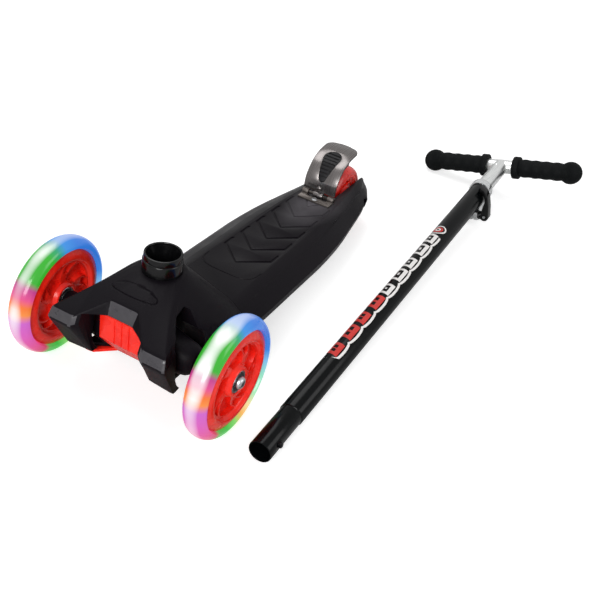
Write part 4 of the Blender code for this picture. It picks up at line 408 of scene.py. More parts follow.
def wheel_core(name, width, core_radius, grooved):
    """A wheel's core about local Z, pocketed on both faces."""
    half = width / 2
    rim_inner = core_radius - RIM_SHARE * (core_radius - HUB_RADIUS)
    seat = half - BEARING_INSET - BEARING_WIDTH
    bore = BEARING_RADIUS + FIT_GAP
    lip = 0.0008
    side = [(HUB_RADIUS + 0.0012, WEB_HALF), (HUB_RADIUS, half - lip), (HUB_RADIUS - lip, half)]
    profile = [(bore + lip, half), (bore, half - lip), (bore, seat), (SLEEVE_BORE, seat),
               (SLEEVE_BORE, -seat), (bore, -seat), (bore, -half + lip), (bore + lip, -half)]
    profile += [(radius, -height) for radius, height in reversed(side)]
    brow = [(core_radius, half - RIM_SLOPE), (core_radius - 0.0010, half - RIM_SLOPE + 0.0006),
            (rim_inner + 0.0060, half - FIT_GAP - 0.0007), (rim_inner + 0.0030, half - FIT_GAP),
            (rim_inner + 0.0012, half - FIT_GAP - 0.0002), (rim_inner + 0.0004, half - FIT_GAP - 0.0010),
            (rim_inner, WEB_HALF + 0.0012), (rim_inner - 0.0012, WEB_HALF)]
    profile += [(radius, -height) for radius, height in reversed(brow)]
    if grooved:
        floor = core_radius - RING_GROOVE_DEPTH
        profile += [(core_radius, -RING_GROOVE_HALF), (floor, -RING_GROOVE_HALF),
                    (floor, RING_GROOVE_HALF), (core_radius, RING_GROOVE_HALF)]
    profile += brow + side
    core = turned(name, profile, 96)
    inner = HUB_RADIUS + POCKET_EDGE
    outer = rim_inner - POCKET_EDGE
    fork = inner + (outer - inner) * FORK_SHARE
    pitch = 2.0 * math.pi / SPOKES
    cutters = []
    for i in range(SPOKES):
        start = i * pitch
        wide = sector(inner, outer, start, start + pitch, SPOKE_CURL, SPOKE_ROOT, SPOKE_TIP)
        split = sector(fork, outer, start - FORK_HALF / outer, start + FORK_HALF / outer,
                       SPOKE_CURL * FORK_CURL, 0.0010, FIT_GAP, 6)
        split = rotated(split, SPOKE_CURL * FORK_TURN)
        for outline, face in ((wide, 1), (split, 1), (wide, -1), (split, -1)):
            low, high = sorted((face * (WEB_HALF - POCKET_DEPTH), face * (WEB_HALF + 0.002)))
            cutters.append(slab("core_pocket", outline, low, high))
    carve(core, join(cutters))
    return soften(core, 0.0004, 2, 40.0)


front_core = wheel_core("left_red_core", WHEEL_WIDTH, FRONT_CORE_RADIUS, True)
right_core = copied(front_core, "right_red_core")
settle(front_core, HUB_PLACE["left"], "left_wheel", "red_plastic", RED_MOULDING, "left_core")
settle(right_core, HUB_PLACE["right"], "right_wheel", "red_plastic", RED_MOULDING, "right_core")


# Bearings, sleeves and axle bolts. Standard 22 mm ball bearings are pressed into both faces of every
# hub: ground steel races with a dark rubber seal between them. A zinc-plated button-head bolt with a
# hexagon socket holds each front wheel, and an aluminium sleeve keeps its bearings apart.

BEARING_BORE = 0.0040
RACE_EDGE = 0.0004
SEAL_INNER = 0.0058
SEAL_OUTER = 0.0093
SEAL_DEPTH = 0.0006
BOLT_RADIUS = 0.0037
BOLT_HEAD_RADIUS = 0.0062
BOLT_HEAD_HEIGHT = 0.0045
BOLT_REACH = 0.022

BEARING_STEEL, tree, shader, place = finish("ground_bearing_steel", "#b9bcc0", 0.22, Metallic=1.0)
# Ground steel: fine marks left by the grinding wheel, drawn coarser so that they show in the shine
grind = node(tree, "ShaderNodeTexNoise", Vector=place, Scale=spaced(2.38), Detail=3.0)
mottled(tree, shader, grind.outputs["Fac"], ("#a9adb2", "#cfd1d4"), (0.16, 0.34))

BEARING_SEAL, tree, shader, place = finish("dark_nitrile_seal", "#1a1a1c", 0.5)
# Moulded nitrile rubber: a dull dark ring with a faint bloom
bloom = node(tree, "ShaderNodeTexNoise", Vector=place, Scale=spaced(3.33), Detail=3.0)
mottled(tree, shader, bloom.outputs["Fac"], ("#131315", "#26262a"))

ZINC_PLATE, tree, shader, place = finish("zinc_plated_steel", "#c2c4c6", 0.28, Metallic=1.0)
# Zinc plate: bright grey steel with a cloudy, slightly uneven shine
cloud = node(tree, "ShaderNodeTexNoise", Vector=place, Scale=spaced(3.85), Detail=4.0)
mottled(tree, shader, cloud.outputs["Fac"], ("#a6a9ad", "#d9dadb"), (0.20, 0.40))


def bearing(name, place, body, replaced):
    """Two races and a sunk seal, closed as one ring about local Z, its outer face up."""
    half = BEARING_WIDTH / 2
    side = [(BEARING_RADIUS, half - RACE_EDGE), (BEARING_RADIUS - RACE_EDGE, half), (SEAL_OUTER, half),
            (SEAL_OUTER, half - SEAL_DEPTH), (SEAL_INNER, half - SEAL_DEPTH), (SEAL_INNER, half),
            (BEARING_BORE + RACE_EDGE, half), (BEARING_BORE, half - RACE_EDGE)]
    profile = side + [(radius, -height) for radius, height in reversed(side)]
    piece = soften(turned(name, profile, 48), 0.0)
    settle(piece, place, body, "steel", BEARING_STEEL, replaced)
    piece.data.materials.append(BEARING_SEAL)
    axis = place.to_3x3() @ Vector((0, 0, 1))
    for face in piece.data.polygons:
        out = face.center - place.translation
        radius = (out - axis * out.dot(axis)).length
        if SEAL_INNER + 0.0001 < radius < SEAL_OUTER - 0.0001 and abs(face.normal.dot(axis)) > 0.9:
            face.material_index = 1
    return piece


def bearing_places(hub, width):
    """The outer and inner bearing's places in a hub, each with its open face outwards."""
    reach = width / 2 - BEARING_INSET - BEARING_WIDTH / 2 + FIT_GAP
    return {"outer": hub @ Matrix.Translation((0, 0, reach)),
            "inner": hub @ Matrix.Translation((0, 0, -reach)) @ Matrix.Rotation(math.pi, 4, "X")}


def button_head(name, radius, seat, tall, shank, tip, sides=48):
    """A domed bolt about local Z with a hexagon socket in its head."""
    rim = seat + 0.0005
    profile = [(0.0, tip), (shank - 0.0006, tip), (shank, tip + 0.0006), (shank, seat),
               (radius - 0.0003, seat), (radius, rim)]
    for i in range(1, 7):
        angle = math.pi / 2 * i / 6
        profile.append((radius * (0.52 + 0.48 * math.cos(angle)),
                        rim + (seat + tall - rim) * math.sin(angle)))
    profile.append((0.0, seat + tall))
    bolt = turned(name, profile, sides, closed=False)
    corner = radius * 0.46
    socket = [(corner * math.cos(math.pi * i / 3), corner * math.sin(math.pi * i / 3)) for i in range(6)]
    carve(bolt, slab("hex_socket", socket, seat + tall * 0.35, seat + tall + 0.002))
    return soften(bolt, 0.0)


for side in ("left", "right"):
    for face, place in bearing_places(HUB_PLACE[side], WHEEL_WIDTH).items():
        bearing("%s_%s_ball_bearing" % (side, face), place, side + "_wheel", "%s_%s_bearing" % (side, face))
    seat = WHEEL_WIDTH / 2 - BEARING_INSET + 2.0 * FIT_GAP
    bolt = button_head(side + "_wheel_bolt", BOLT_HEAD_RADIUS, seat, BOLT_HEAD_HEIGHT, BOLT_RADIUS,
                       -(WHEEL_WIDTH / 2 + BOLT_REACH))
    settle(bolt, HUB_PLACE[side], "truck", "steel", ZINC_PLATE, side + "_axle_bolt")


# Rear wheel. The smaller wheel in the deck's tail is solid red polyurethane, a little see-through at its
# edge, on a red core like the front ones. It turns on a bolt that crosses the tail with a nut and two
# aluminium spacers.

rear_low, rear_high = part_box("rear_tyre")
REAR_RADIUS = (rear_high[2] - rear_low[2]) / 2
REAR_WIDTH = rear_high[0] - rear_low[0]
REAR_AXLE = Vector([(a + b) / 2 for a, b in zip(rear_low, rear_high)])
REAR_PLACE = Matrix.Translation(REAR_AXLE) @ Matrix.Rotation(math.pi / 2, 4, "Y")
REAR_CORE_RADIUS = 0.0285
REAR_TREAD_DEPTH = 0.0077

RED_TYRE, tree, shader, place = finish("solid_red_polyurethane", "#de1a12", 0.26, Coat_Weight=0.25,
                                       Subsurface_Weight=0.25, Subsurface_Scale=0.004)
shader.inputs["Subsurface Radius"].default_value = (1.0, 0.25, 0.15)
# Cast polyurethane: soft-looking red with a scuffed tread
scuff = node(tree, "ShaderNodeTexNoise", Vector=place, Scale=spaced(6.25), Detail=5.0)
mottled(tree, shader, scuff.outputs["Fac"], ("#c9130e", "#ee2a1e"), (0.20, 0.42))

rear_tyre = tyre("rear_red_tyre", REAR_RADIUS, REAR_WIDTH, REAR_CORE_RADIUS + FIT_GAP, REAR_TREAD_DEPTH)
settle(soften(rear_tyre, 0.0), REAR_PLACE, "rear_wheel", "red_tyre", RED_TYRE, "rear_tyre")
rear_core = wheel_core("rear_red_core", REAR_WIDTH, REAR_CORE_RADIUS, False)
settle(rear_core, REAR_PLACE, "rear_wheel", "red_plastic", RED_MOULDING, "rear_core")
for face, place in bearing_places(REAR_PLACE, REAR_WIDTH).items():
    bearing("rear_%s_ball_bearing" % face, place, "rear_wheel", "rear_%s_bearing" % face)

SLEEVE_ALUMINIUM, tree, shader, place = finish("turned_aluminium", "#c9cbcc", 0.30, Metallic=1.0)
# Bar aluminium off the lathe: close rings that break up the shine
rings = node(tree, "ShaderNodeTexNoise", Vector=place, Scale=spaced(2.0), Detail=2.0)
mottled(tree, shader, rings.outputs["Fac"], roughness=(0.22, 0.40))

repaint(SLEEVE_ALUMINIUM, "left_sleeve", "right_sleeve", "rear_sleeve", "rear_left_spacer",
        "rear_right_spacer")
repaint(ZINC_PLATE, "rear_axle_bolt", "rear_axle_nut")


# Hood. The black cover over the front wheels is one injection moulding in glass-filled nylon, screwed to
# the deck from below: a round crown for the socket, two claws that come down beside the steering truck,
# and an arched opening in each side for the wheel's arm. Its skin is finely spark-textured.

CROWN_TOP = 0.1165
CROWN_RADIUS = 0.0235
SOCKET_BACK = 0.030
OVAL_MIDDLE = (-0.002, -0.0082)
OVAL_REACH = (0.0245, 0.0068)
SCORE_RADIUS = 0.00045
MODEL_MERGE_GAP = 0.000005
MODEL_FLATNESS = math.radians(0.8)
# How far from the middle, how high and how far forward the brow's and the claws' chamfers lie
BROW_BAND = ((0.0, 0.0150), (0.0915, 0.1036), -0.024)
CLAW_BAND = ((0.0365, 0.0645), (0.0795, 0.0886), -0.048)

BLACK_NYLON, tree, shader, place = finish("spark_textured_black_nylon", "#0d0a0e", 0.44,
                                          Specular_IOR_Level=0.07)
# Spark-eroded tool texture: an even grain that scatters the shine, slightly warm in the dark. The real
# grain is about 0.1 mm, and it is drawn coarser so that it shows
grain = node(tree, "ShaderNodeTexNoise", Vector=place, Scale=spaced(0.667), Detail=3.0)
skin = node(tree, "ShaderNodeBump", Strength=0.16, Distance=0.0002, Height=grain.outputs["Fac"])
tree.links.new(skin.outputs["Normal"], shader.inputs["Normal"])
mottled(tree, shader, grain.outputs["Fac"], ("#0b080c", "#120f14"), (0.40, 0.54))


def from_model(node_name, name, width, segments=2, sharp=34.0, smooth=42.0):
    """A node's own shape as a new piece: merged, its flat faces joined and its edges rounded."""
    source = frame["nodes"][node_name]
    piece = copied(source, name)
    piece.hide_render = False
    piece.hide_set(False)
    bpy.ops.object.select_all(action="DESELECT")
    bpy.context.view_layer.objects.active = piece
    piece.select_set(True)
    bpy.ops.object.mode_set(mode="EDIT")
    bpy.ops.mesh.select_all(action="SELECT")
    bpy.ops.mesh.remove_doubles(threshold=MODEL_MERGE_GAP)
    bpy.ops.mesh.dissolve_limited(angle_limit=MODEL_FLATNESS)
    bpy.ops.mesh.normals_make_consistent(inside=False)
    bpy.ops.object.mode_set(mode="OBJECT")
    return soften(piece, width, segments, sharp, smooth)


def lofted(name, rings, creases, posts):
    """Closed rings of points joined into one skin, with creased rings and creased upright edges."""
    count = len(rings[0])
    points = [Vector(point) for ring in rings for point in ring]
    faces = [tuple(range(count)), tuple(range(len(points) - count, len(points)))[::-1]]
    for level in range(len(rings) - 1):
        for i in range(count):
            j = (i + 1) % count
            below, above = level * count, (level + 1) * count
            faces.append((below + j, below + i, above + i, above + j))
    mesh = bpy.data.meshes.new(name)
    mesh.from_pydata(points, [], faces)
    piece = bpy.data.objects.new(name, mesh)
    bpy.context.scene.collection.objects.link(piece)
    bpy.context.view_layer.objects.active = piece
    bpy.ops.object.select_all(action="DESELECT")
    piece.select_set(True)
    bpy.ops.object.mode_set(mode="EDIT")
    bpy.ops.mesh.select_all(action="SELECT")
    bpy.ops.mesh.normals_make_consistent(inside=False)
    bpy.ops.object.mode_set(mode="OBJECT")
    sharpness = mesh.attributes.new("crease_edge", "FLOAT", "EDGE")
    for edge in mesh.edges:
        first, last = sorted(edge.vertices)
        if first // count == last // count:
            sharpness.data[edge.index].value = creases.get(first // count, 0.0)
        else:
            sharpness.data[edge.index].value = posts.get(first % count, 0.0)
    return piece


def hood_skin():
    """The hood's outside as five rings from the crown to the foot, each given by its right half."""
    turns = [math.pi * i / 8 for i in range(9)]
    crown = [(CROWN_RADIUS * math.sin(turn), SOCKET_BACK - CROWN_RADIUS * math.cos(turn), CROWN_TOP)
             for turn in turns]
    shoulder = [(0.0, -0.010, 0.1115), (0.0132, -0.010, 0.1115), (0.0281, -0.012, 0.1080),
                (0.0396, -0.013, 0.1045), (0.0330, 0.010, 0.1120), (0.0330, 0.032, 0.1110),
                (0.0320, 0.052, 0.1045), (0.0231, 0.066, 0.1000), (0.0, 0.070, 0.0985)]
    upper = [(0.0, -0.025, 0.104), (0.015, -0.025, 0.104), (0.038, -0.049, 0.089), (0.063, -0.049, 0.089),
             (0.042, 0.008, 0.098), (0.045, 0.036, 0.093), (0.050, 0.062, 0.082), (0.047, 0.101, 0.0605),
             (0.0, 0.108, 0.0605)]
    lower = [(0.0, -0.031, 0.091), (0.0135, -0.031, 0.091), (0.038, -0.053, 0.079), (0.065, -0.053, 0.079),
             (0.051, -0.001, 0.081), (0.0545, 0.037, 0.077), (0.0605, 0.066, 0.064), (0.0655, 0.103, 0.047),
             (0.0, 0.111, 0.053)]
    foot = [(0.0, -0.024, 0.039), (0.0135, -0.024, 0.039), (0.036, -0.0275, 0.039), (0.061, -0.0295, 0.039),
            (0.058, 0.0, 0.039), (0.057, 0.037, 0.039), (0.0625, 0.066, 0.039), (0.0668, 0.103, 0.039),
            (0.0, 0.109, 0.039)]
    rings = []
    for half in (crown, shoulder, upper, lower, foot):
        ring = half + [(-x, y, z) for x, y, z in reversed(half[1:-1])]
        rings.append([Vector(point) + AXLE_FOOT for point in ring])
    return rings


def scored(piece, path, radius, closed):
    """Cut a fine round-bottomed line into the top of a piece, under the given (x, y) path."""
    skin = BVHTree.FromPolygons([point.co for point in piece.data.vertices],
                                [tuple(face.vertices) for face in piece.data.polygons])
    data = bpy.data.curves.new(piece.name + "_line", "CURVE")
    data.dimensions = "3D"
    data.bevel_depth = radius
    data.bevel_resolution = 1
    data.use_fill_caps = not closed
    spline = data.splines.new("POLY")
    spline.points.add(len(path) - 1)
    spline.use_cyclic_u = closed
    for point, (x, y) in zip(spline.points, path):
        place = skin.ray_cast(AXLE_FOOT + Vector((x, y, 0.3)), Vector((0.0, 0.0, -1.0)))[0]
        point.co = (*place, 1.0)
    groove = bpy.data.objects.new(piece.name + "_line", data)
    bpy.context.scene.collection.objects.link(groove)
    bpy.ops.object.select_all(action="DESELECT")
    groove.select_set(True)
    bpy.context.view_layer.objects.active = groove
    bpy.ops.object.convert(target="MESH")
    return carve(piece, bpy.context.object)


# How hard each ring's edge is, and each upright edge that runs through the rings
ring_creases = {0: 0.8, 2: 0.55, 3: 0.85, 4: 1.0}
upright_creases = {1: 0.5, 2: 0.75, 3: 0.85, 13: 0.85, 14: 0.75, 15: 0.5}
skin_piece = lofted("hood_skin", hood_skin(), ring_creases, upright_creases)
rounding = skin_piece.modifiers.new("rounding", "SUBSURF")
rounding.levels = 3
rounding.render_levels = 3
apply_modifiers(skin_piece)
hood = from_model("front_hood", "nylon_hood", 0.0)
carve(hood, skin_piece, "INTERSECT")
soften(hood, 0.0008, 3, 36.0, 38.0)
# A plain oval is scored into the brow in front of the socket
turns = [2.0 * math.pi * i / 72 for i in range(72)]
oval = [(OVAL_MIDDLE[0] + OVAL_REACH[0] * math.cos(turn), OVAL_MIDDLE[1] + OVAL_REACH[1] * math.sin(turn))
        for turn in turns]
scored(hood, oval, SCORE_RADIUS, True)
soften(hood, 0.0, 2, 40.0, 32.0)
settle(hood, Matrix(), "scooter", "black_plastic", BLACK_NYLON, "front_hood")

SMOOTH_HIGHLIGHT_BAND, tree, shader, place = finish("smooth_black_nylon_painted_highlight", "#3c3a3e", 0.30, Specular_IOR_Level=0.4)
# Untextured chamfers: the tool is polished there, so they are smoother and shinier than the skin. Their
# lighter grey base colour is a painted highlight, for chamfers that face the key light
flow = node(tree, "ShaderNodeTexNoise", Vector=place, Scale=spaced(7.69), Detail=2.0)
mottled(tree, shader, flow.outputs["Fac"], ("#363438", "#444246"), (0.26, 0.36))
hood.data.materials.append(SMOOTH_HIGHLIGHT_BAND)
# The forward-facing brow and claw chamfers take the painted highlight
for face in hood.data.polygons:
    x, y, z = face.center - AXLE_FOOT
    for (inner, outer), (low, high), front in (BROW_BAND, CLAW_BAND):
        if face.normal.y < -0.6 and inner <= abs(x) < outer and low < z < high and y < front:
            face.material_index = 1


# Socket and its fasteners. A glossy black plastic bush takes the T-bar's plug and a stepped collar sits
# round it in the hood's crown. Zinc-plated screws and the inclined kingpin hold the hood, deck and truck
# together, with two polyurethane bushes round the kingpin.

GLOSS_BLACK, tree, shader, place = finish("gloss_black_acetal", "#050506", 0.16, Specular_IOR_Level=0.28)
# Polished moulding: deep black with a clear, very slightly uneven shine
sheen = node(tree, "ShaderNodeTexNoise", Vector=place, Scale=spaced(8.33), Detail=2.0)
mottled(tree, shader, sheen.outputs["Fac"], ("#050506", "#0b0b0c"), (0.12, 0.22))

BLACK_RUBBER, tree, shader, place = finish("soft_black_rubber", "#0a0b0b", 0.56, Specular_IOR_Level=0.09)
# Moulded rubber: dull, with a faint dusty bloom
dust = node(tree, "ShaderNodeTexNoise", Vector=place, Scale=spaced(2.0), Detail=4.0)
mottled(tree, shader, dust.outputs["Fac"], ("#07090a", "#0f1112"), (0.52, 0.72))

SOCKET_PLACE = DECK_UNIT @ Matrix.Translation((0.0, SOCKET_BACK, 0.0))
bush = turned("acetal_socket_bush", [
    (0.0119, 0.0780), (0.0153, 0.0780), (0.0153, 0.1293), (0.0180, 0.1293), (0.0180, 0.1341),
    (0.0177, 0.1348), (0.0172, 0.1350), (0.0166, 0.1350), (0.0162, 0.1347), (0.0160, 0.1340),
    (0.0160, 0.1325), (0.0119, 0.1265)], 96)
settle(soften(bush, 0.0), SOCKET_PLACE, "scooter", "black_paint", GLOSS_BLACK, "socket_bush")
collar = turned("stepped_socket_collar", [
    (0.0156, 0.1105), (0.0190, 0.1105), (0.0190, 0.1278), (0.0187, 0.1285), (0.0180, 0.1290),
    (0.0156, 0.1290)], 96)
settle(soften(collar, 0.0), SOCKET_PLACE, "scooter", "black_plastic", GLOSS_BLACK, "socket_collar")
repaint(ZINC_PLATE, *["hood_screw_%d" % i for i in range(1, 5)], "kingpin_bolt", "foot_screw")
repaint(BLACK_RUBBER, "upper_bush", "lower_bush")


# Deck. One long nylon moulding, hollow and ribbed below: a flat standing board inside a stepped border,
# with chevron grooves for grip, sloping shoulders and a forked tail round the rear wheel.

# Where the painted reflection of the brake plate lies on the board, and how far it reaches
BRAKE_REFLECTION_SPOT = Vector((0.004, 0.340, 0.050)) + AXLE_FOOT
BRAKE_REFLECTION_REACH = (0.034, 0.080, 0.050)
EDGE_SCORE_RADIUS = 0.00055

BOARD_NYLON, tree, shader, place = finish("satin_textured_black_nylon", "#0d0a0e", 0.34,
                                          Specular_IOR_Level=0.08)
# A satin leather-like texture: soft dimples that catch warm reflections, worn a little smoother in patches
dimples = node(tree, "ShaderNodeTexNoise", Vector=place, Scale=spaced(1.43), Detail=4.0)
wear_and_reflection_breakup = node(tree, "ShaderNodeTexNoise", Vector=place, Scale=spaced(41.7), Detail=2.0)
skin = node(tree, "ShaderNodeBump", Strength=0.22, Distance=0.0003, Height=dimples.outputs["Fac"])
tree.links.new(skin.outputs["Normal"], shader.inputs["Normal"])
mottled(tree, shader, wear_and_reflection_breakup.outputs["Fac"], roughness=(0.26, 0.42))
# A painted reflection of the brake plate: a warmer, greyer patch on the board just in front of the brake,
# broken up by the same noise that makes the board smoother in patches
near = node(tree, "ShaderNodeVectorMath", {"operation": "SUBTRACT"}, _0=place, _1=BRAKE_REFLECTION_SPOT)
oval = node(tree, "ShaderNodeVectorMath", {"operation": "DIVIDE"}, _0=near.outputs["Vector"],
            _1=BRAKE_REFLECTION_REACH)
reach = node(tree, "ShaderNodeVectorMath", {"operation": "LENGTH"}, _0=oval.outputs["Vector"])
reflection_fade = node(tree, "ShaderNodeMapRange", _0=reach.outputs["Value"], _1=0.25, _2=1.0, _3=1.0, _4=0.0)
reflection_patches = node(tree, "ShaderNodeMapRange", _0=wear_and_reflection_breakup.outputs["Fac"], _1=NOISE_LOW, _2=NOISE_HIGH,
               _3=0.55, _4=1.0)
patchy_reflection = node(tree, "ShaderNodeMath", {"operation": "MULTIPLY"}, _0=reflection_fade.outputs["Result"],
              _1=reflection_patches.outputs["Result"])
plain = node(tree, "ShaderNodeMixRGB", Fac=dimples.outputs["Fac"], Color1=linear("#0b080c"),
             Color2=linear("#131015"))
with_brake_reflection = node(tree, "ShaderNodeMixRGB", Fac=patchy_reflection.outputs[0], Color1=plain.outputs["Color"],
                Color2=linear("#565357"))
tree.links.new(with_brake_reflection.outputs["Color"], shader.inputs["Base Color"])

deck = from_model("deck", "nylon_deck", 0.0007, 2, 20.0, 30.0)
# The standing panel's front edge is a scored line with rounded corners
half_edge = [(0.0, 0.1425), (0.0160, 0.1430), (0.0240, 0.1450), (0.0295, 0.1495), (0.0320, 0.1570),
             (0.0325, 0.1660)]
front_edge = [(-x, y) for x, y in reversed(half_edge[1:])] + half_edge
scored(deck, front_edge, EDGE_SCORE_RADIUS, False)
soften(deck, 0.0, 2, 40.0, 30.0)
settle(deck, Matrix(), "scooter", "black_plastic", BOARD_NYLON, "deck")


# Steering truck. A black nylon beam rocks on the kingpin and carries a front wheel on each arm, with a
# plain boss at each arm's end. A glossy red cover with upright grooves is clipped to its front, and thin
# wings run out under the hood's claws.

truck = from_model("truck_body", "nylon_truck", 0.0006, 2, 34.0, 46.0)
settle(truck, Matrix(), "truck", "black_plastic", BLACK_NYLON, "truck_body")
cover = from_model("truck_cover", "red_truck_cover", 0.0006, 3, 30.0, 40.0)
settle(cover, Matrix(), "truck", "red_plastic", RED_MOULDING, "truck_cover")
for side in ("left", "right"):
    boss = from_model(side + "_axle_boss", side + "_nylon_boss", 0.0004, 2, 40.0, 42.0)
    settle(boss, Matrix(), "truck", "black_plastic", BLACK_NYLON, side + "_axle_boss")


# Brake. A polished steel plate bent up over the rear wheel, about 2 mm thick and 41 mm wide, hinged on a
# pin in a screwed-down foot and held up by a coil spring. A black rubber pad is riveted behind it, and
# the pad's pear-shaped boss with cross ribs fills the window in the plate.

MOTION = {joint["name"]: joint for joint in frame["record"]["behaviour"]["joints"]}
HINGE = Matrix.Translation(Vector(MOTION["brake_press"]["pos_m"]))
PLATE_HALF_THICK = 0.0010
PLATE_HALF_WIDTH = 0.0205
PLATE_REACH = 0.055
PLATE_RISE = 0.0439
PLATE_CORNER = 0.012
BARREL_BORE = 0.0023
BARREL_RADIUS = 0.0036
BARREL_HALF = 0.0060
PAD_RIBS = 8
RIB_PITCH = 0.0044
RIB_GROOVE = 0.0017
PEAR_HALF_WIDTH = 0.0108
PEAR_LENGTH = 0.0425
# Local X, Y and Z of a slab become world Y, Z and X
SIDEWAYS = Matrix(((0, 0, 1, 0), (1, 0, 0, 0), (0, 1, 0, 0), (0, 0, 0, 1)))

BRUSHED_STEEL, tree, shader, place = finish("brushed_stainless_steel", "#7c7673", 0.30, Metallic=1.0)
# Rolled and brushed plate: a soft shine with fine lines along its length, drawn coarser so that they show
stretch = node(tree, "ShaderNodeMapping", Vector=place, Scale=(spaced(1.11), spaced(38.5), spaced(38.5)))
lines = node(tree, "ShaderNodeTexNoise", Vector=stretch.outputs["Vector"], Scale=1.0, Detail=4.0)
mottled(tree, shader, lines.outputs["Fac"], ("#706b6a", "#7d7978"), (0.24, 0.34))
grain = node(tree, "ShaderNodeBump", Strength=0.03, Distance=0.0001, Height=lines.outputs["Fac"])
tree.links.new(grain.outputs["Normal"], shader.inputs["Normal"])

PAD_RUBBER, tree, shader, place = finish("hard_black_brake_rubber", "#121113", 0.5, Specular_IOR_Level=0.2)
# Hard friction rubber: dull black with a slight moulded grain
grain = node(tree, "ShaderNodeTexNoise", Vector=place, Scale=spaced(1.11), Detail=3.0)
mottled(tree, shader, grain.outputs["Fac"], ("#101011", "#201f22"), (0.42, 0.58))


def eased(points, steps, closed=False):
    """A smooth line through the given (x, y) points."""
    count = len(points)
    spans = count if closed else count - 1
    line = []
    for i in range(spans):
        near = [(i + k) % count if closed else min(max(i + k, 0), count - 1) for k in (-1, 0, 1, 2)]
        a, b, c, d = [Vector(points[k]) for k in near]
        for k in range(steps):
            t = k / steps
            line.append(0.5 * (2.0 * b + (c - a) * t + (2.0 * a - 5.0 * b + 4.0 * c - d) * t ** 2
                               + (3.0 * b - a - 3.0 * c + d) * t ** 3))
    if not closed:
        line.append(Vector(points[-1]))
    return line


def beside(line, distance):
    """The line moved sideways by a distance, up and forwards of the plate where it is positive."""
    moved = []
    for i, point in enumerate(line):
        along = (line[min(i + 1, len(line) - 1)] - line[max(i - 1, 0)]).normalized()
        moved.append(point + Vector((-along.y, along.x)) * distance)
    return moved


def sheet(name, low, high, half_width):
    """A bent band along the brake's line, between two distances from it."""
    outline = beside(PLATE_LINE, high) + beside(PLATE_LINE, low)[::-1]
    return slab(name, outline, -half_width, half_width, HINGE @ SIDEWAYS)


def block(name, across, along, up, place=Matrix()):
    """A box between two values on each of its axes, put at a place."""
    bpy.ops.object.select_all(action="DESELECT")
    bpy.ops.mesh.primitive_cube_add(size=1.0)
    piece = bpy.context.object
    piece.name = name
    sides = (across, along, up)
    middle = Matrix.Translation([(low + high) / 2 for low, high in sides])
    stretch = Matrix.Diagonal([high - low for low, high in sides] + [1.0])
    piece.data.transform(place @ middle @ stretch)
    return piece


def rod(name, radius, high, low, sides, place=Matrix()):
    """A round bar about local Z between two heights, put at a place."""
    piece = turned(name, [(0.0, high), (radius, high), (radius, low), (0.0, low)], sides, False)
    piece.data.transform(place)
    return piece


# The plate's bend and the pear's outline, as shares of their reach and rise
PLATE_SHARES = ((0.012, 0.11), (0.010, 0.20), (0.036, 0.42), (0.127, 0.62), (0.273, 0.807),
                (0.473, 0.932), (0.727, 0.989), (1.03, 1.0))
PLATE_LINE = eased([(PLATE_REACH * a, PLATE_RISE * b) for a, b in PLATE_SHARES], 6)
PEAR_PLACE = HINGE @ Matrix.Translation((0.0, 0.0043, 0.0134)) @ Matrix.Rotation(math.pi / 4, 4, "X")
RIVET_PLACE = HINGE @ Matrix.Translation((0.0, 0.0005, 0.0089)) @ Matrix.Rotation(math.pi / 2, 4, "X")
PEAR_SHARES = ((0.0, 0.0), (0.20, 0.012), (0.38, 0.05), (0.60, 0.25), (0.82, 0.50), (1.0, 0.72),
               (0.88, 0.86), (0.50, 0.96), (0.0, 1.0))

plate = sheet("steel_brake_plate", -PLATE_HALF_THICK, PLATE_HALF_THICK, PLATE_HALF_WIDTH)
corner = [(PLATE_HALF_WIDTH, -0.02)]
for i in range(11):
    angle = math.pi / 2 * i / 10
    corner.append((PLATE_HALF_WIDTH - PLATE_CORNER * (1.0 - math.cos(angle)),
                   PLATE_REACH - PLATE_CORNER * (1.0 - math.sin(angle))))
corner += [(0.0065, PLATE_REACH + 0.0009), (0.003, PLATE_REACH + 0.0013), (0.0, PLATE_REACH + 0.0014)]
end = corner + [(-x, y) for x, y in reversed(corner[:-1])]
carve(plate, slab("plate_end", end, -0.01, 0.08, HINGE), "INTERSECT")
carve(plate, block("plate_neck", (-0.0004, 0.0014), (0.0028, 0.0070), (-BARREL_HALF, BARREL_HALF),
                   HINGE @ SIDEWAYS), "UNION")
barrel = turned("plate_barrel", [(BARREL_BORE, -BARREL_HALF), (BARREL_RADIUS, -BARREL_HALF),
                                 (BARREL_RADIUS, BARREL_HALF), (BARREL_BORE, BARREL_HALF)], 40)
barrel.data.transform(HINGE @ SIDEWAYS)
carve(plate, barrel, "UNION")
half_pear = [(PEAR_HALF_WIDTH * across, PEAR_LENGTH * along) for across, along in PEAR_SHARES]
pear = eased(half_pear + [(-x, y) for x, y in reversed(half_pear[1:-1])], 4, True)
carve(plate, slab("plate_window", pear, -0.03, 0.03, PEAR_PLACE))
carve(plate, rod("rivet_hole", 0.0018, 0.01, -0.01, 24, RIVET_PLACE))
soften(plate, 0.00035, 2, 40.0, 30.0)
settle(plate, Matrix(), "brake", "steel", BRUSHED_STEEL, "brake_plate")

DARK_PLATE_EDGE, tree, shader, place = finish("darker_plate_edge_steel", "#2b2827", 0.45, Metallic=0.7)
# The plate's edge faces are given a darker, duller, mottled steel than its faces
edge_mottle = node(tree, "ShaderNodeTexNoise", Vector=place, Scale=spaced(1.67), Detail=3.0)
mottled(tree, shader, edge_mottle.outputs["Fac"], ("#1e1c1b", "#3a3634"))
plate.data.materials.append(DARK_PLATE_EDGE)
for face in plate.data.polygons:
    spot = Vector((face.center.y, face.center.z)) - Vector((HINGE.translation.y, HINGE.translation.z))
    k = min(range(1, len(PLATE_LINE)), key=lambda i: (PLATE_LINE[i] - spot).length)
    along = (PLATE_LINE[k] - PLATE_LINE[k - 1]).normalized()
    if spot.y > 0.008 and abs(face.normal.y * along.y - face.normal.z * along.x) < 0.75:
        face.material_index = 1

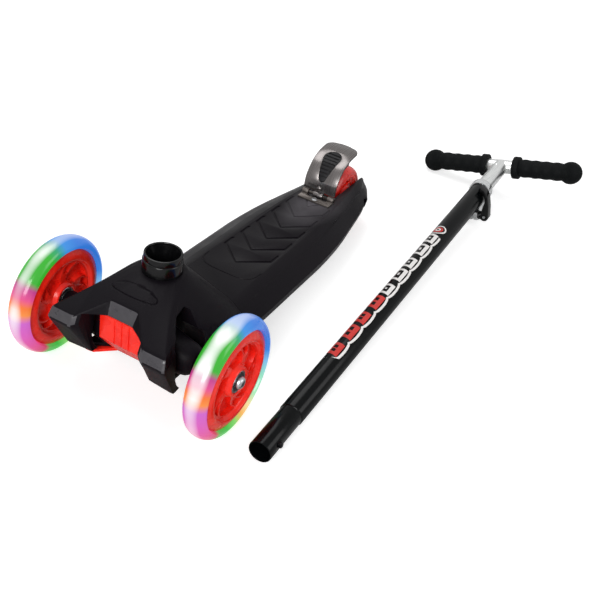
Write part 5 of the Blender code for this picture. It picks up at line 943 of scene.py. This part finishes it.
pad = from_model("brake_pad", "ribbed_brake_pad", 0.0)
ribs = []
for i in range(PAD_RIBS):
    start = 0.0050 + RIB_PITCH * i
    ribs.append(block("pad_groove", (-0.012, 0.012), (start, start + RIB_GROOVE), (-0.02, 0.02), PEAR_PLACE))
grooves = join(ribs)
carve(grooves, sheet("groove_depth", 0.0002, 0.0040, 0.0085), "INTERSECT")
carve(pad, grooves)
soften(pad, 0.0004, 2, 36.0, 40.0)
settle(pad, Matrix(), "brake", "black_plastic", PAD_RUBBER, "brake_pad")

rivet = turned("domed_brake_rivet", [
    (0.0, 0.0032), (0.0010, 0.0031), (0.0020, 0.0028), (0.0028, 0.0022), (0.0032, 0.0016),
    (0.0032, 0.0013), (0.0015, 0.0013), (0.0015, -0.0045), (0.0, -0.0045)], 40, False)
settle(soften(rivet, 0.0), RIVET_PLACE, "brake", "steel", BRUSHED_STEEL, "brake_rivet")

SPRING_STEEL, tree, shader, place = finish("oiled_spring_steel", "#4a4644", 0.36, Metallic=1.0)
# Oil-tempered wire and pin: dark grey-brown steel with a soft, uneven shine
oil = node(tree, "ShaderNodeTexNoise", Vector=place, Scale=spaced(3.57), Detail=3.0)
mottled(tree, shader, oil.outputs["Fac"], ("#3a3634", "#5a5552"), (0.30, 0.46))
repaint(SPRING_STEEL, "brake_pin", "brake_spring")

BLASTED_STEEL, tree, shader, place = finish("blasted_steel_foot", "#6c6663", 0.52, Metallic=1.0)
# Blasted and passivated: a dull taupe grey, a shade darker than the plate
blast = node(tree, "ShaderNodeTexNoise", Vector=place, Scale=spaced(1.11), Detail=3.0)
mottled(tree, shader, blast.outputs["Fac"], ("#5f5956", "#78726e"), (0.46, 0.60))
foot = from_model("brake_foot", "steel_hinge_foot", 0.0003, 2, 40.0, 40.0)
settle(foot, Matrix(), "scooter", "steel", BLASTED_STEEL, "brake_foot")


# T-bar tube. A round steel tube in gloss black powder coat, with a turned-down plug at its foot for the
# socket and a spring button through the plug. A plain printed film of slanted bars, rings and a wavy
# border runs up one side of it.

bar_x = -Vector(MOTION["button_press"]["axis"])
bar_z = Vector(MOTION["handle_telescope"]["axis"])
bar_y = bar_z.cross(bar_x)
LEVER_PIVOT = Vector((0.0141, 0.0235, 0.553))
T_BAR = Matrix((bar_x, bar_y, bar_z)).transposed().to_4x4()
T_BAR.translation = Vector(MOTION["clamp_lever_turn"]["pos_m"]) - T_BAR.to_3x3() @ LEVER_PIVOT
TUBE_RADIUS = 0.0124
TUBE_TOP = 0.576
PLUG_LENGTH = 0.057
PLUG_RADIUS = 0.0116
TUBE_WALL = 0.0010
BUTTON_HEIGHT = 0.0160
# Local Z of a round piece laid along the T-bar's X
ACROSS = Matrix.Rotation(math.pi / 2, 4, "Y")

GLOSS_COAT, tree, shader, place = finish("gloss_black_powder_coat", "#050607", 0.26, Specular_IOR_Level=0.10,
                                         Coat_Weight=0.06, Coat_Roughness=0.08)
# Powder coat: glassy black over a very faint orange peel that breaks long reflections
peel = node(tree, "ShaderNodeTexNoise", Vector=place, Scale=spaced(3.12), Detail=2.0)
skin = node(tree, "ShaderNodeBump", Strength=0.04, Distance=0.0002, Height=peel.outputs["Fac"])
tree.links.new(skin.outputs["Normal"], shader.inputs["Normal"])
mottled(tree, shader, peel.outputs["Fac"], ("#030405", "#07090a"), (0.15, 0.25))

tube = turned("coated_lower_tube", [
    (TUBE_RADIUS - 0.0004, TUBE_TOP), (TUBE_RADIUS, TUBE_TOP - 0.0004),
    (TUBE_RADIUS, PLUG_LENGTH + 0.0012), (TUBE_RADIUS - 0.0003, PLUG_LENGTH + 0.0006),
    (PLUG_RADIUS, PLUG_LENGTH + 0.0002), (PLUG_RADIUS, 0.0008), (PLUG_RADIUS - 0.0003, 0.0002),
    (PLUG_RADIUS - 0.0008, 0.0), (PLUG_RADIUS - TUBE_WALL, 0.0003), (PLUG_RADIUS - TUBE_WALL, PLUG_LENGTH),
    (TUBE_RADIUS - TUBE_WALL, PLUG_LENGTH + 0.0010), (TUBE_RADIUS - TUBE_WALL, TUBE_TOP)], 96)
button_place = Matrix.Translation((0.0, 0.0, BUTTON_HEIGHT)) @ ACROSS
carve(tube, rod("button_hole", 0.0035, 0.018, 0.008, 40, button_place))
carve(tube, block("tube_slit", (-0.001, 0.001), (0.0, 0.03), (0.5435, 0.60)))
settle(soften(tube, 0.0), T_BAR, "t_bar", "black_paint", GLOSS_COAT, "lower_tube")

BLACKED_STEEL, tree, shader, place = finish("blacked_steel", "#1c1c1e", 0.32, Metallic=1.0)
# Chemical blacking: dark steel with an oily, cloudy shine
cloud = node(tree, "ShaderNodeTexNoise", Vector=place, Scale=spaced(3.33), Detail=3.0)
mottled(tree, shader, cloud.outputs["Fac"], ("#141416", "#2a2a2d"), (0.26, 0.42))
button = turned("sprung_lock_button", [
    (0.0, 0.0146), (0.0016, 0.0145), (0.0026, 0.0141), (0.0032, 0.0134), (0.0032, 0.0094),
    (0.0044, 0.0094), (0.0044, 0.0083), (0.0, 0.0083)], 48, False)
settle(soften(button, 0.0), T_BAR @ button_place, "lock_button", "steel", BLACKED_STEEL, "lock_button")
repaint(BLACKED_STEEL, "button_clip")

# The film's printed height, its place round the tube, and how far it stands off the paint
FILM_LOW = 0.140
FILM_HIGH = 0.418
FILM_TURN = math.radians(-44.0)
FILM_LIFT = 0.00016
FILM_THICKNESS = 0.00010
FRAME_PITCH = 0.0315
FRAME_TALL = 0.0250
FRAME_LEFT = 0.0050
FRAME_RIGHT = 0.0220
FRAME_SLANT = 0.008
RING_SPOT = (0.0115, 0.4315)
BORDER_ARC = 0.0142
BORDER_REACH = 0.0110
BORDER_SWELL = 0.0026
BORDER_WIDTH = 0.0026
BORDER_TAPER = 0.004

inks = []
for name, middle, dark, light in (("white_printed_film", "#ebe8e6", "#dedad8", "#f4f2f1"),
                                  ("red_printed_film", "#c8241d", "#b81d17", "#d92f26")):
    ink, tree, shader, place = finish(name, middle, 0.30)
    # Screen ink on clear film: a smooth, slightly uneven cover
    cover = node(tree, "ShaderNodeTexNoise", Vector=place, Scale=spaced(3.85), Detail=3.0)
    mottled(tree, shader, cover.outputs["Fac"], (dark, light))
    inks.append(ink)
WHITE_INK, RED_INK = inks


def film(name, strips, paint, slot):
    """Thin printed shapes bent round the tube; each strip is two lines of (arc, height) points."""
    points, faces = [], []
    for first, second in strips:
        start = len(points)
        for pair in zip(first, second):
            for arc, height in pair:
                turn = FILM_TURN - arc / TUBE_RADIUS
                reach = TUBE_RADIUS + FILM_LIFT
                points.append((reach * math.cos(turn), reach * math.sin(turn), height))
        faces += [(start + 2 * i, start + 2 * i + 1, start + 2 * i + 3, start + 2 * i + 2)
                  for i in range(len(first) - 1)]
    mesh = bpy.data.meshes.new(name)
    mesh.from_pydata(points, [], faces)
    piece = bpy.data.objects.new(name, mesh)
    bpy.context.scene.collection.objects.link(piece)
    for face in mesh.polygons:
        out = Vector((face.center.x, face.center.y, 0.0))
        if face.normal.dot(out) < 0.0:
            face.flip()
    thickness = piece.modifiers.new("thickness", "SOLIDIFY")
    thickness.thickness = FILM_THICKNESS
    thickness.offset = -1.0
    soften(piece, 0.0)
    return settle(piece, T_BAR, "t_bar", slot, paint)


def slanted(line, low, high, lean, left):
    """A strip between two heights that rises across the film."""
    return ([(a, low + lean * (a - left)) for a in line], [(a, high + lean * (a - left)) for a in line])


def frames(first, count, edge):
    """Hollow slanted frames across the film, one above the other, each of four thin bars and a core."""
    strips = []
    left, right = FRAME_LEFT, FRAME_RIGHT
    lean = FRAME_SLANT / (right - left)
    for i in range(count):
        base = first + i * FRAME_PITCH
        top = base + FRAME_TALL * (1.0 if i % 2 else 0.82)
        bars = ((base, base + edge, left, right), (top - edge, top, left, right),
                (base, top, left, left + edge * 1.2), (base, top, right - edge * 1.2, right))
        for low, high, start, end in bars:
            line = [start + (end - start) * k / 10 for k in range(11)]
            strips.append(slanted(line, low, high, lean, left))
        middle = (base + top) / 2
        half = (top - base) / 2 - edge * 1.9
        line = [left + edge * 2.6 + (right - left - edge * 5.2) * k / 8 for k in range(9)]
        strips.append(slanted(line, middle - half * 0.5, middle + half * 0.5, lean, left))
    return strips


def rings(*bands):
    """Flat rings round a spot near the film's top."""
    arc, height = RING_SPOT
    strips = []
    for inner, outer in bands:
        turns = [2.0 * math.pi * k / 40 for k in range(41)]
        strips.append(([(arc + inner * math.cos(a), height + inner * math.sin(a)) for a in turns],
                       [(arc + outer * math.cos(a), height + outer * math.sin(a)) for a in turns]))
    return strips


waves = [FILM_LOW + (FILM_HIGH - FILM_LOW) * i / 150 for i in range(151)]
border = []
for height in waves:
    swell = abs(math.sin(math.pi * (height - FILM_LOW) / FRAME_PITCH)) ** 0.45
    close = min(1.0, (height - FILM_LOW) / BORDER_TAPER, (FILM_HIGH - height) / BORDER_TAPER)
    border.append((BORDER_ARC - (BORDER_REACH + BORDER_SWELL * swell) * close ** 0.5, height))
border_strip = (border, [(arc + BORDER_WIDTH, height) for arc, height in border])
white_strips = [border_strip] + frames(0.2695, 5, 0.0038)
white_strips += rings((0.0082, 0.0100), (0.0016, 0.0034))
film("printed_white_pattern", white_strips, WHITE_INK, "white_plastic")
red_strips = frames(0.1440, 4, 0.0046)
red_strips += rings((0.0042, 0.0062))
film("printed_red_pattern", red_strips, RED_INK, "red_plastic")


# Clamp. A split aluminium collar grips the tube's top; its long bolt carries a round nut at one end and
# a black plastic cam lever on a cross pin at the other. A black guide bush lines the tube's mouth.

SATIN_ALUMINIUM, tree, shader, place = finish("bright_satin_aluminium", "#dfe1e1", 0.26, Metallic=1.0)
# Tumbled and polished aluminium: bright, with soft clouding
cloud = node(tree, "ShaderNodeTexNoise", Vector=place, Scale=spaced(4.76), Detail=4.0)
mottled(tree, shader, cloud.outputs["Fac"], ("#d2d4d5", "#ecedee"), (0.16, 0.32))

collar = from_model("clamp_collar", "split_clamp_collar", 0.0005, 2, 34.0, 44.0)
settle(collar, Matrix(), "t_bar", "aluminium", SATIN_ALUMINIUM, "clamp_collar")
lever = from_model("clamp_lever", "moulded_cam_lever", 0.0008, 3, 24.0, 44.0)
settle(lever, Matrix(), "clamp_lever", "black_plastic", GLOSS_BLACK, "clamp_lever")
mouth = turned("acetal_guide_bush", [
    (0.0106, 0.5260), (0.0111, 0.5260), (0.0111, 0.5763), (0.0119, 0.5763), (0.0119, 0.5778),
    (0.0113, 0.5785), (0.0110, 0.5785), (0.0106, 0.5781)], 96)
settle(soften(mouth, 0.0), T_BAR, "t_bar", "black_plastic", GLOSS_BLACK, "guide_bush")
nut = turned("round_clamp_nut", [
    (0.0, 0.0176), (0.0016, 0.0176), (0.0030, 0.0162), (0.0030, -0.0068), (0.0072, -0.0068),
    (0.0075, -0.0071), (0.0075, -0.0168), (0.0071, -0.0178), (0.0063, -0.0187), (0.0050, -0.0188),
    (0.0046, -0.0180), (0.0, -0.0180)], 64, False)
carve(nut, rod("pin_hole", 0.0021, 0.01, -0.01, 24, Matrix.Translation((0.0, 0.0, LEVER_PIVOT.x)) @ ACROSS))
nut_place = T_BAR @ Matrix.Translation((0.0, LEVER_PIVOT.y, LEVER_PIVOT.z)) @ ACROSS
settle(soften(nut, 0.0), nut_place, "t_bar", "steel", ZINC_PLATE, "clamp_bolt")
repaint(GLOSS_BLACK, "cam_washer")
repaint(ZINC_PLATE, "lever_pin")


# Handlebar. A polished aluminium stem slides in the tube, with a guide groove along it; the short cross
# bar is welded on top with a bright bead. Each end carries a black rubber grip: a flange, a gently waved
# hand part and a finely ribbed ball.

BAR_HEIGHT = 0.659
STEM_RADIUS = 0.0103
STEM_BORE = 0.0091
BAR_RADIUS = 0.0092
BAR_BORE = 0.0080
BAR_HALF = 0.088
STEM_FOOT = 0.472
CROSS_PLACE = Matrix.Translation((0.0, 0.0, BAR_HEIGHT)) @ ACROSS

POLISHED_ALUMINIUM, tree, shader, place = finish("polished_aluminium_tube", "#f0f2f1", 0.32, Metallic=1.0)
# Drawn tube, buffed: a clear reflection with faint lines along the draw, coarser here so that they show
stretch = node(tree, "ShaderNodeMapping", Vector=place, Scale=(spaced(1.25), spaced(33.3), spaced(1.25)))
lines = node(tree, "ShaderNodeTexNoise", Vector=stretch.outputs["Vector"], Scale=1.0, Detail=3.0)
mottled(tree, shader, lines.outputs["Fac"], ("#e8eae9", "#f7f8f7"), (0.24, 0.38))

stem = rod("welded_handlebar", STEM_RADIUS, BAR_HEIGHT, STEM_FOOT, 64)
carve(stem, rod("cross_bar", BAR_RADIUS, BAR_HALF, -BAR_HALF, 64, CROSS_PLACE), "UNION")
soften(stem, 0.0018, 4, 34.0, 40.0)
carve(stem, rod("stem_bore", STEM_BORE, BAR_HEIGHT, 0.46, 48))
carve(stem, rod("bar_bore", BAR_BORE, 0.1, -0.1, 48, CROSS_PLACE))
carve(stem, block("stem_groove", (-0.0013, 0.0013), (-0.03, -0.0095), (0.478, 0.643)))
soften(stem, 0.0, 2, 40.0, 34.0)
settle(stem, T_BAR, "handlebar_set", "aluminium", POLISHED_ALUMINIUM, "handlebar")

BALL_CENTRE = 0.0945
BALL_RADIUS = 0.0150
BALL_RIB = 0.00022
GRIP_RADIUS = 0.0119
GRIP_WAVES = 4
GRIP_WAVE = 0.0004
FLANGE_FACE = 0.0265

# From the ball's top down its ribs, along the waved hand part to the flange, and up the bore
grip_profile = [(0.0, BALL_CENTRE + BALL_RADIUS)]
for i in range(1, 89):
    down = math.radians(i * 1.5)
    rib = BALL_RIB * math.cos(down * 60.0) if i > 6 else 0.0
    reach = BALL_RADIUS + rib - BALL_RIB
    grip_profile.append((reach * math.sin(down), BALL_CENTRE + reach * math.cos(down)))
wave_start = BALL_CENTRE - BALL_RADIUS * 0.75
for i in range(1, 41):
    wave = GRIP_WAVE * math.cos(2.0 * math.pi * GRIP_WAVES * i / 40)
    grip_profile.append((GRIP_RADIUS - wave, wave_start + (FLANGE_FACE - wave_start) * i / 40))
grip_profile += [(0.0128, 0.0264), (0.0146, 0.0260), (0.0150, 0.0255), (0.0150, 0.0190), (0.0147, 0.0179),
                 (0.0138, 0.0175), (0.0095, 0.0175), (0.0095, 0.0883), (0.0, 0.0883)]
grip = turned("left_ball_grip", grip_profile, 88, False)
soften(grip, 0.0)
other_grip = copied(grip, "right_ball_grip")
for piece, side, sign in ((grip, "left", -1), (other_grip, "right", 1)):
    outwards = Matrix.Translation((0.0, 0.0, BAR_HEIGHT)) @ Matrix.Rotation(sign * math.pi / 2, 4, "Y")
    settle(piece, T_BAR @ outwards, "handlebar_set", "rubber", BLACK_RUBBER, side + "_grip")


# The studio sweep: a plain white sheet that the object lies on, lit until it reads as white paper
FLOOR_SIZE = 12.0

WHITE_PAPER, tree, shader, place = finish("white_paper_sweep", "#d8d8d8", 0.95, Specular_IOR_Level=0.1)
# Overlit paper: what the lens sees of it is lifted to white, while the shadow on it stays
seen = node(tree, "ShaderNodeLightPath")
away = node(tree, "ShaderNodeVectorMath", {"operation": "LENGTH"}, _0=place)
lift = node(tree, "ShaderNodeMapRange", _0=away.outputs["Value"], _1=0.9, _2=2.6, _3=0.62, _4=1.0)
glow = node(tree, "ShaderNodeMath", {"operation": "MULTIPLY"}, _0=seen.outputs["Is Camera Ray"],
            _1=lift.outputs["Result"])
shader.inputs["Emission Color"].default_value = (1.0, 1.0, 1.0, 1.0)
tree.links.new(glow.outputs[0], shader.inputs["Emission Strength"])
bpy.ops.object.select_all(action="DESELECT")
bpy.ops.mesh.primitive_plane_add(size=FLOOR_SIZE, location=(0.0, 0.0, 0.0))
floor = bpy.context.object
floor.name = "floor"
floor.data.materials.append(WHITE_PAPER)


# The camera stands in front of the scooter on the T-bar's side, looking down on the deck
CAMERA_AZIMUTH = math.radians(25.8)
CAMERA_ELEVATION = math.radians(34.61)
CAMERA_ROLL = math.radians(8.72)
CAMERA_DISTANCE = 1.0885
CAMERA_AIM = Vector((0.0278, 0.2056, 0.0))
CAMERA_LENS = 59.34
CAMERA_SHIFT = 0.05

back = Vector((math.sin(CAMERA_AZIMUTH) * math.cos(CAMERA_ELEVATION),
               -math.cos(CAMERA_AZIMUTH) * math.cos(CAMERA_ELEVATION), math.sin(CAMERA_ELEVATION)))
level = Vector((math.cos(CAMERA_AZIMUTH), math.sin(CAMERA_AZIMUTH), 0.0))
upright = back.cross(level)
across = math.cos(CAMERA_ROLL) * level + math.sin(CAMERA_ROLL) * upright
upwards = math.cos(CAMERA_ROLL) * upright - math.sin(CAMERA_ROLL) * level
camera_data = bpy.data.cameras.new("camera")
camera_data.lens = CAMERA_LENS
camera_data.shift_x = CAMERA_SHIFT
camera = bpy.data.objects.new("camera", camera_data)
turn = Matrix((across, upwards, back)).transposed().to_4x4()
camera.matrix_world = Matrix.Translation(AXLE_FOOT + CAMERA_AIM + back * CAMERA_DISTANCE) @ turn
bpy.context.scene.collection.objects.link(camera)
bpy.context.scene.camera = camera


# Soft studio light: a key from the front, a sheet above, one from the side, and a dim surround
def soft_light(name, place, size, power):
    """A square area light that looks at the middle of the scooter."""
    data = bpy.data.lights.new(name, "AREA")
    data.shape = "SQUARE"
    data.size = size
    data.energy = power
    lamp = bpy.data.objects.new(name, data)
    lamp.location = place
    aim = Vector((0.0, 0.0, 0.05)) - Vector(place)
    lamp.rotation_euler = aim.to_track_quat("-Z", "Y").to_euler()
    bpy.context.scene.collection.objects.link(lamp)
    return lamp


soft_light("key_light", (0.5, -2.3, 1.25), 1.1, 46.0)
soft_light("top_light", (-0.9, 0.3, 2.3), 1.5, 24.0)
soft_light("side_light", (2.2, 0.4, 1.3), 1.2, 14.0)
surround = bpy.data.worlds.new("surround")
surround.use_nodes = True
tree = surround.node_tree
# White behind the object, and a dimmer grey studio in what lights it and is mirrored in it
seen = node(tree, "ShaderNodeLightPath")
mirrored = node(tree, "ShaderNodeMapRange", _0=seen.outputs["Is Glossy Ray"], _3=0.26, _4=0.70)
level = node(tree, "ShaderNodeMath", {"operation": "MAXIMUM"}, _0=seen.outputs["Is Camera Ray"],
             _1=mirrored.outputs["Result"])
tree.links.new(level.outputs[0], tree.nodes["Background"].inputs["Strength"])
tree.nodes["Background"].inputs["Color"].default_value = (1.0, 1.0, 1.0, 1.0)
bpy.context.scene.world = surround
bpy.context.scene.view_settings.view_transform = "Standard"
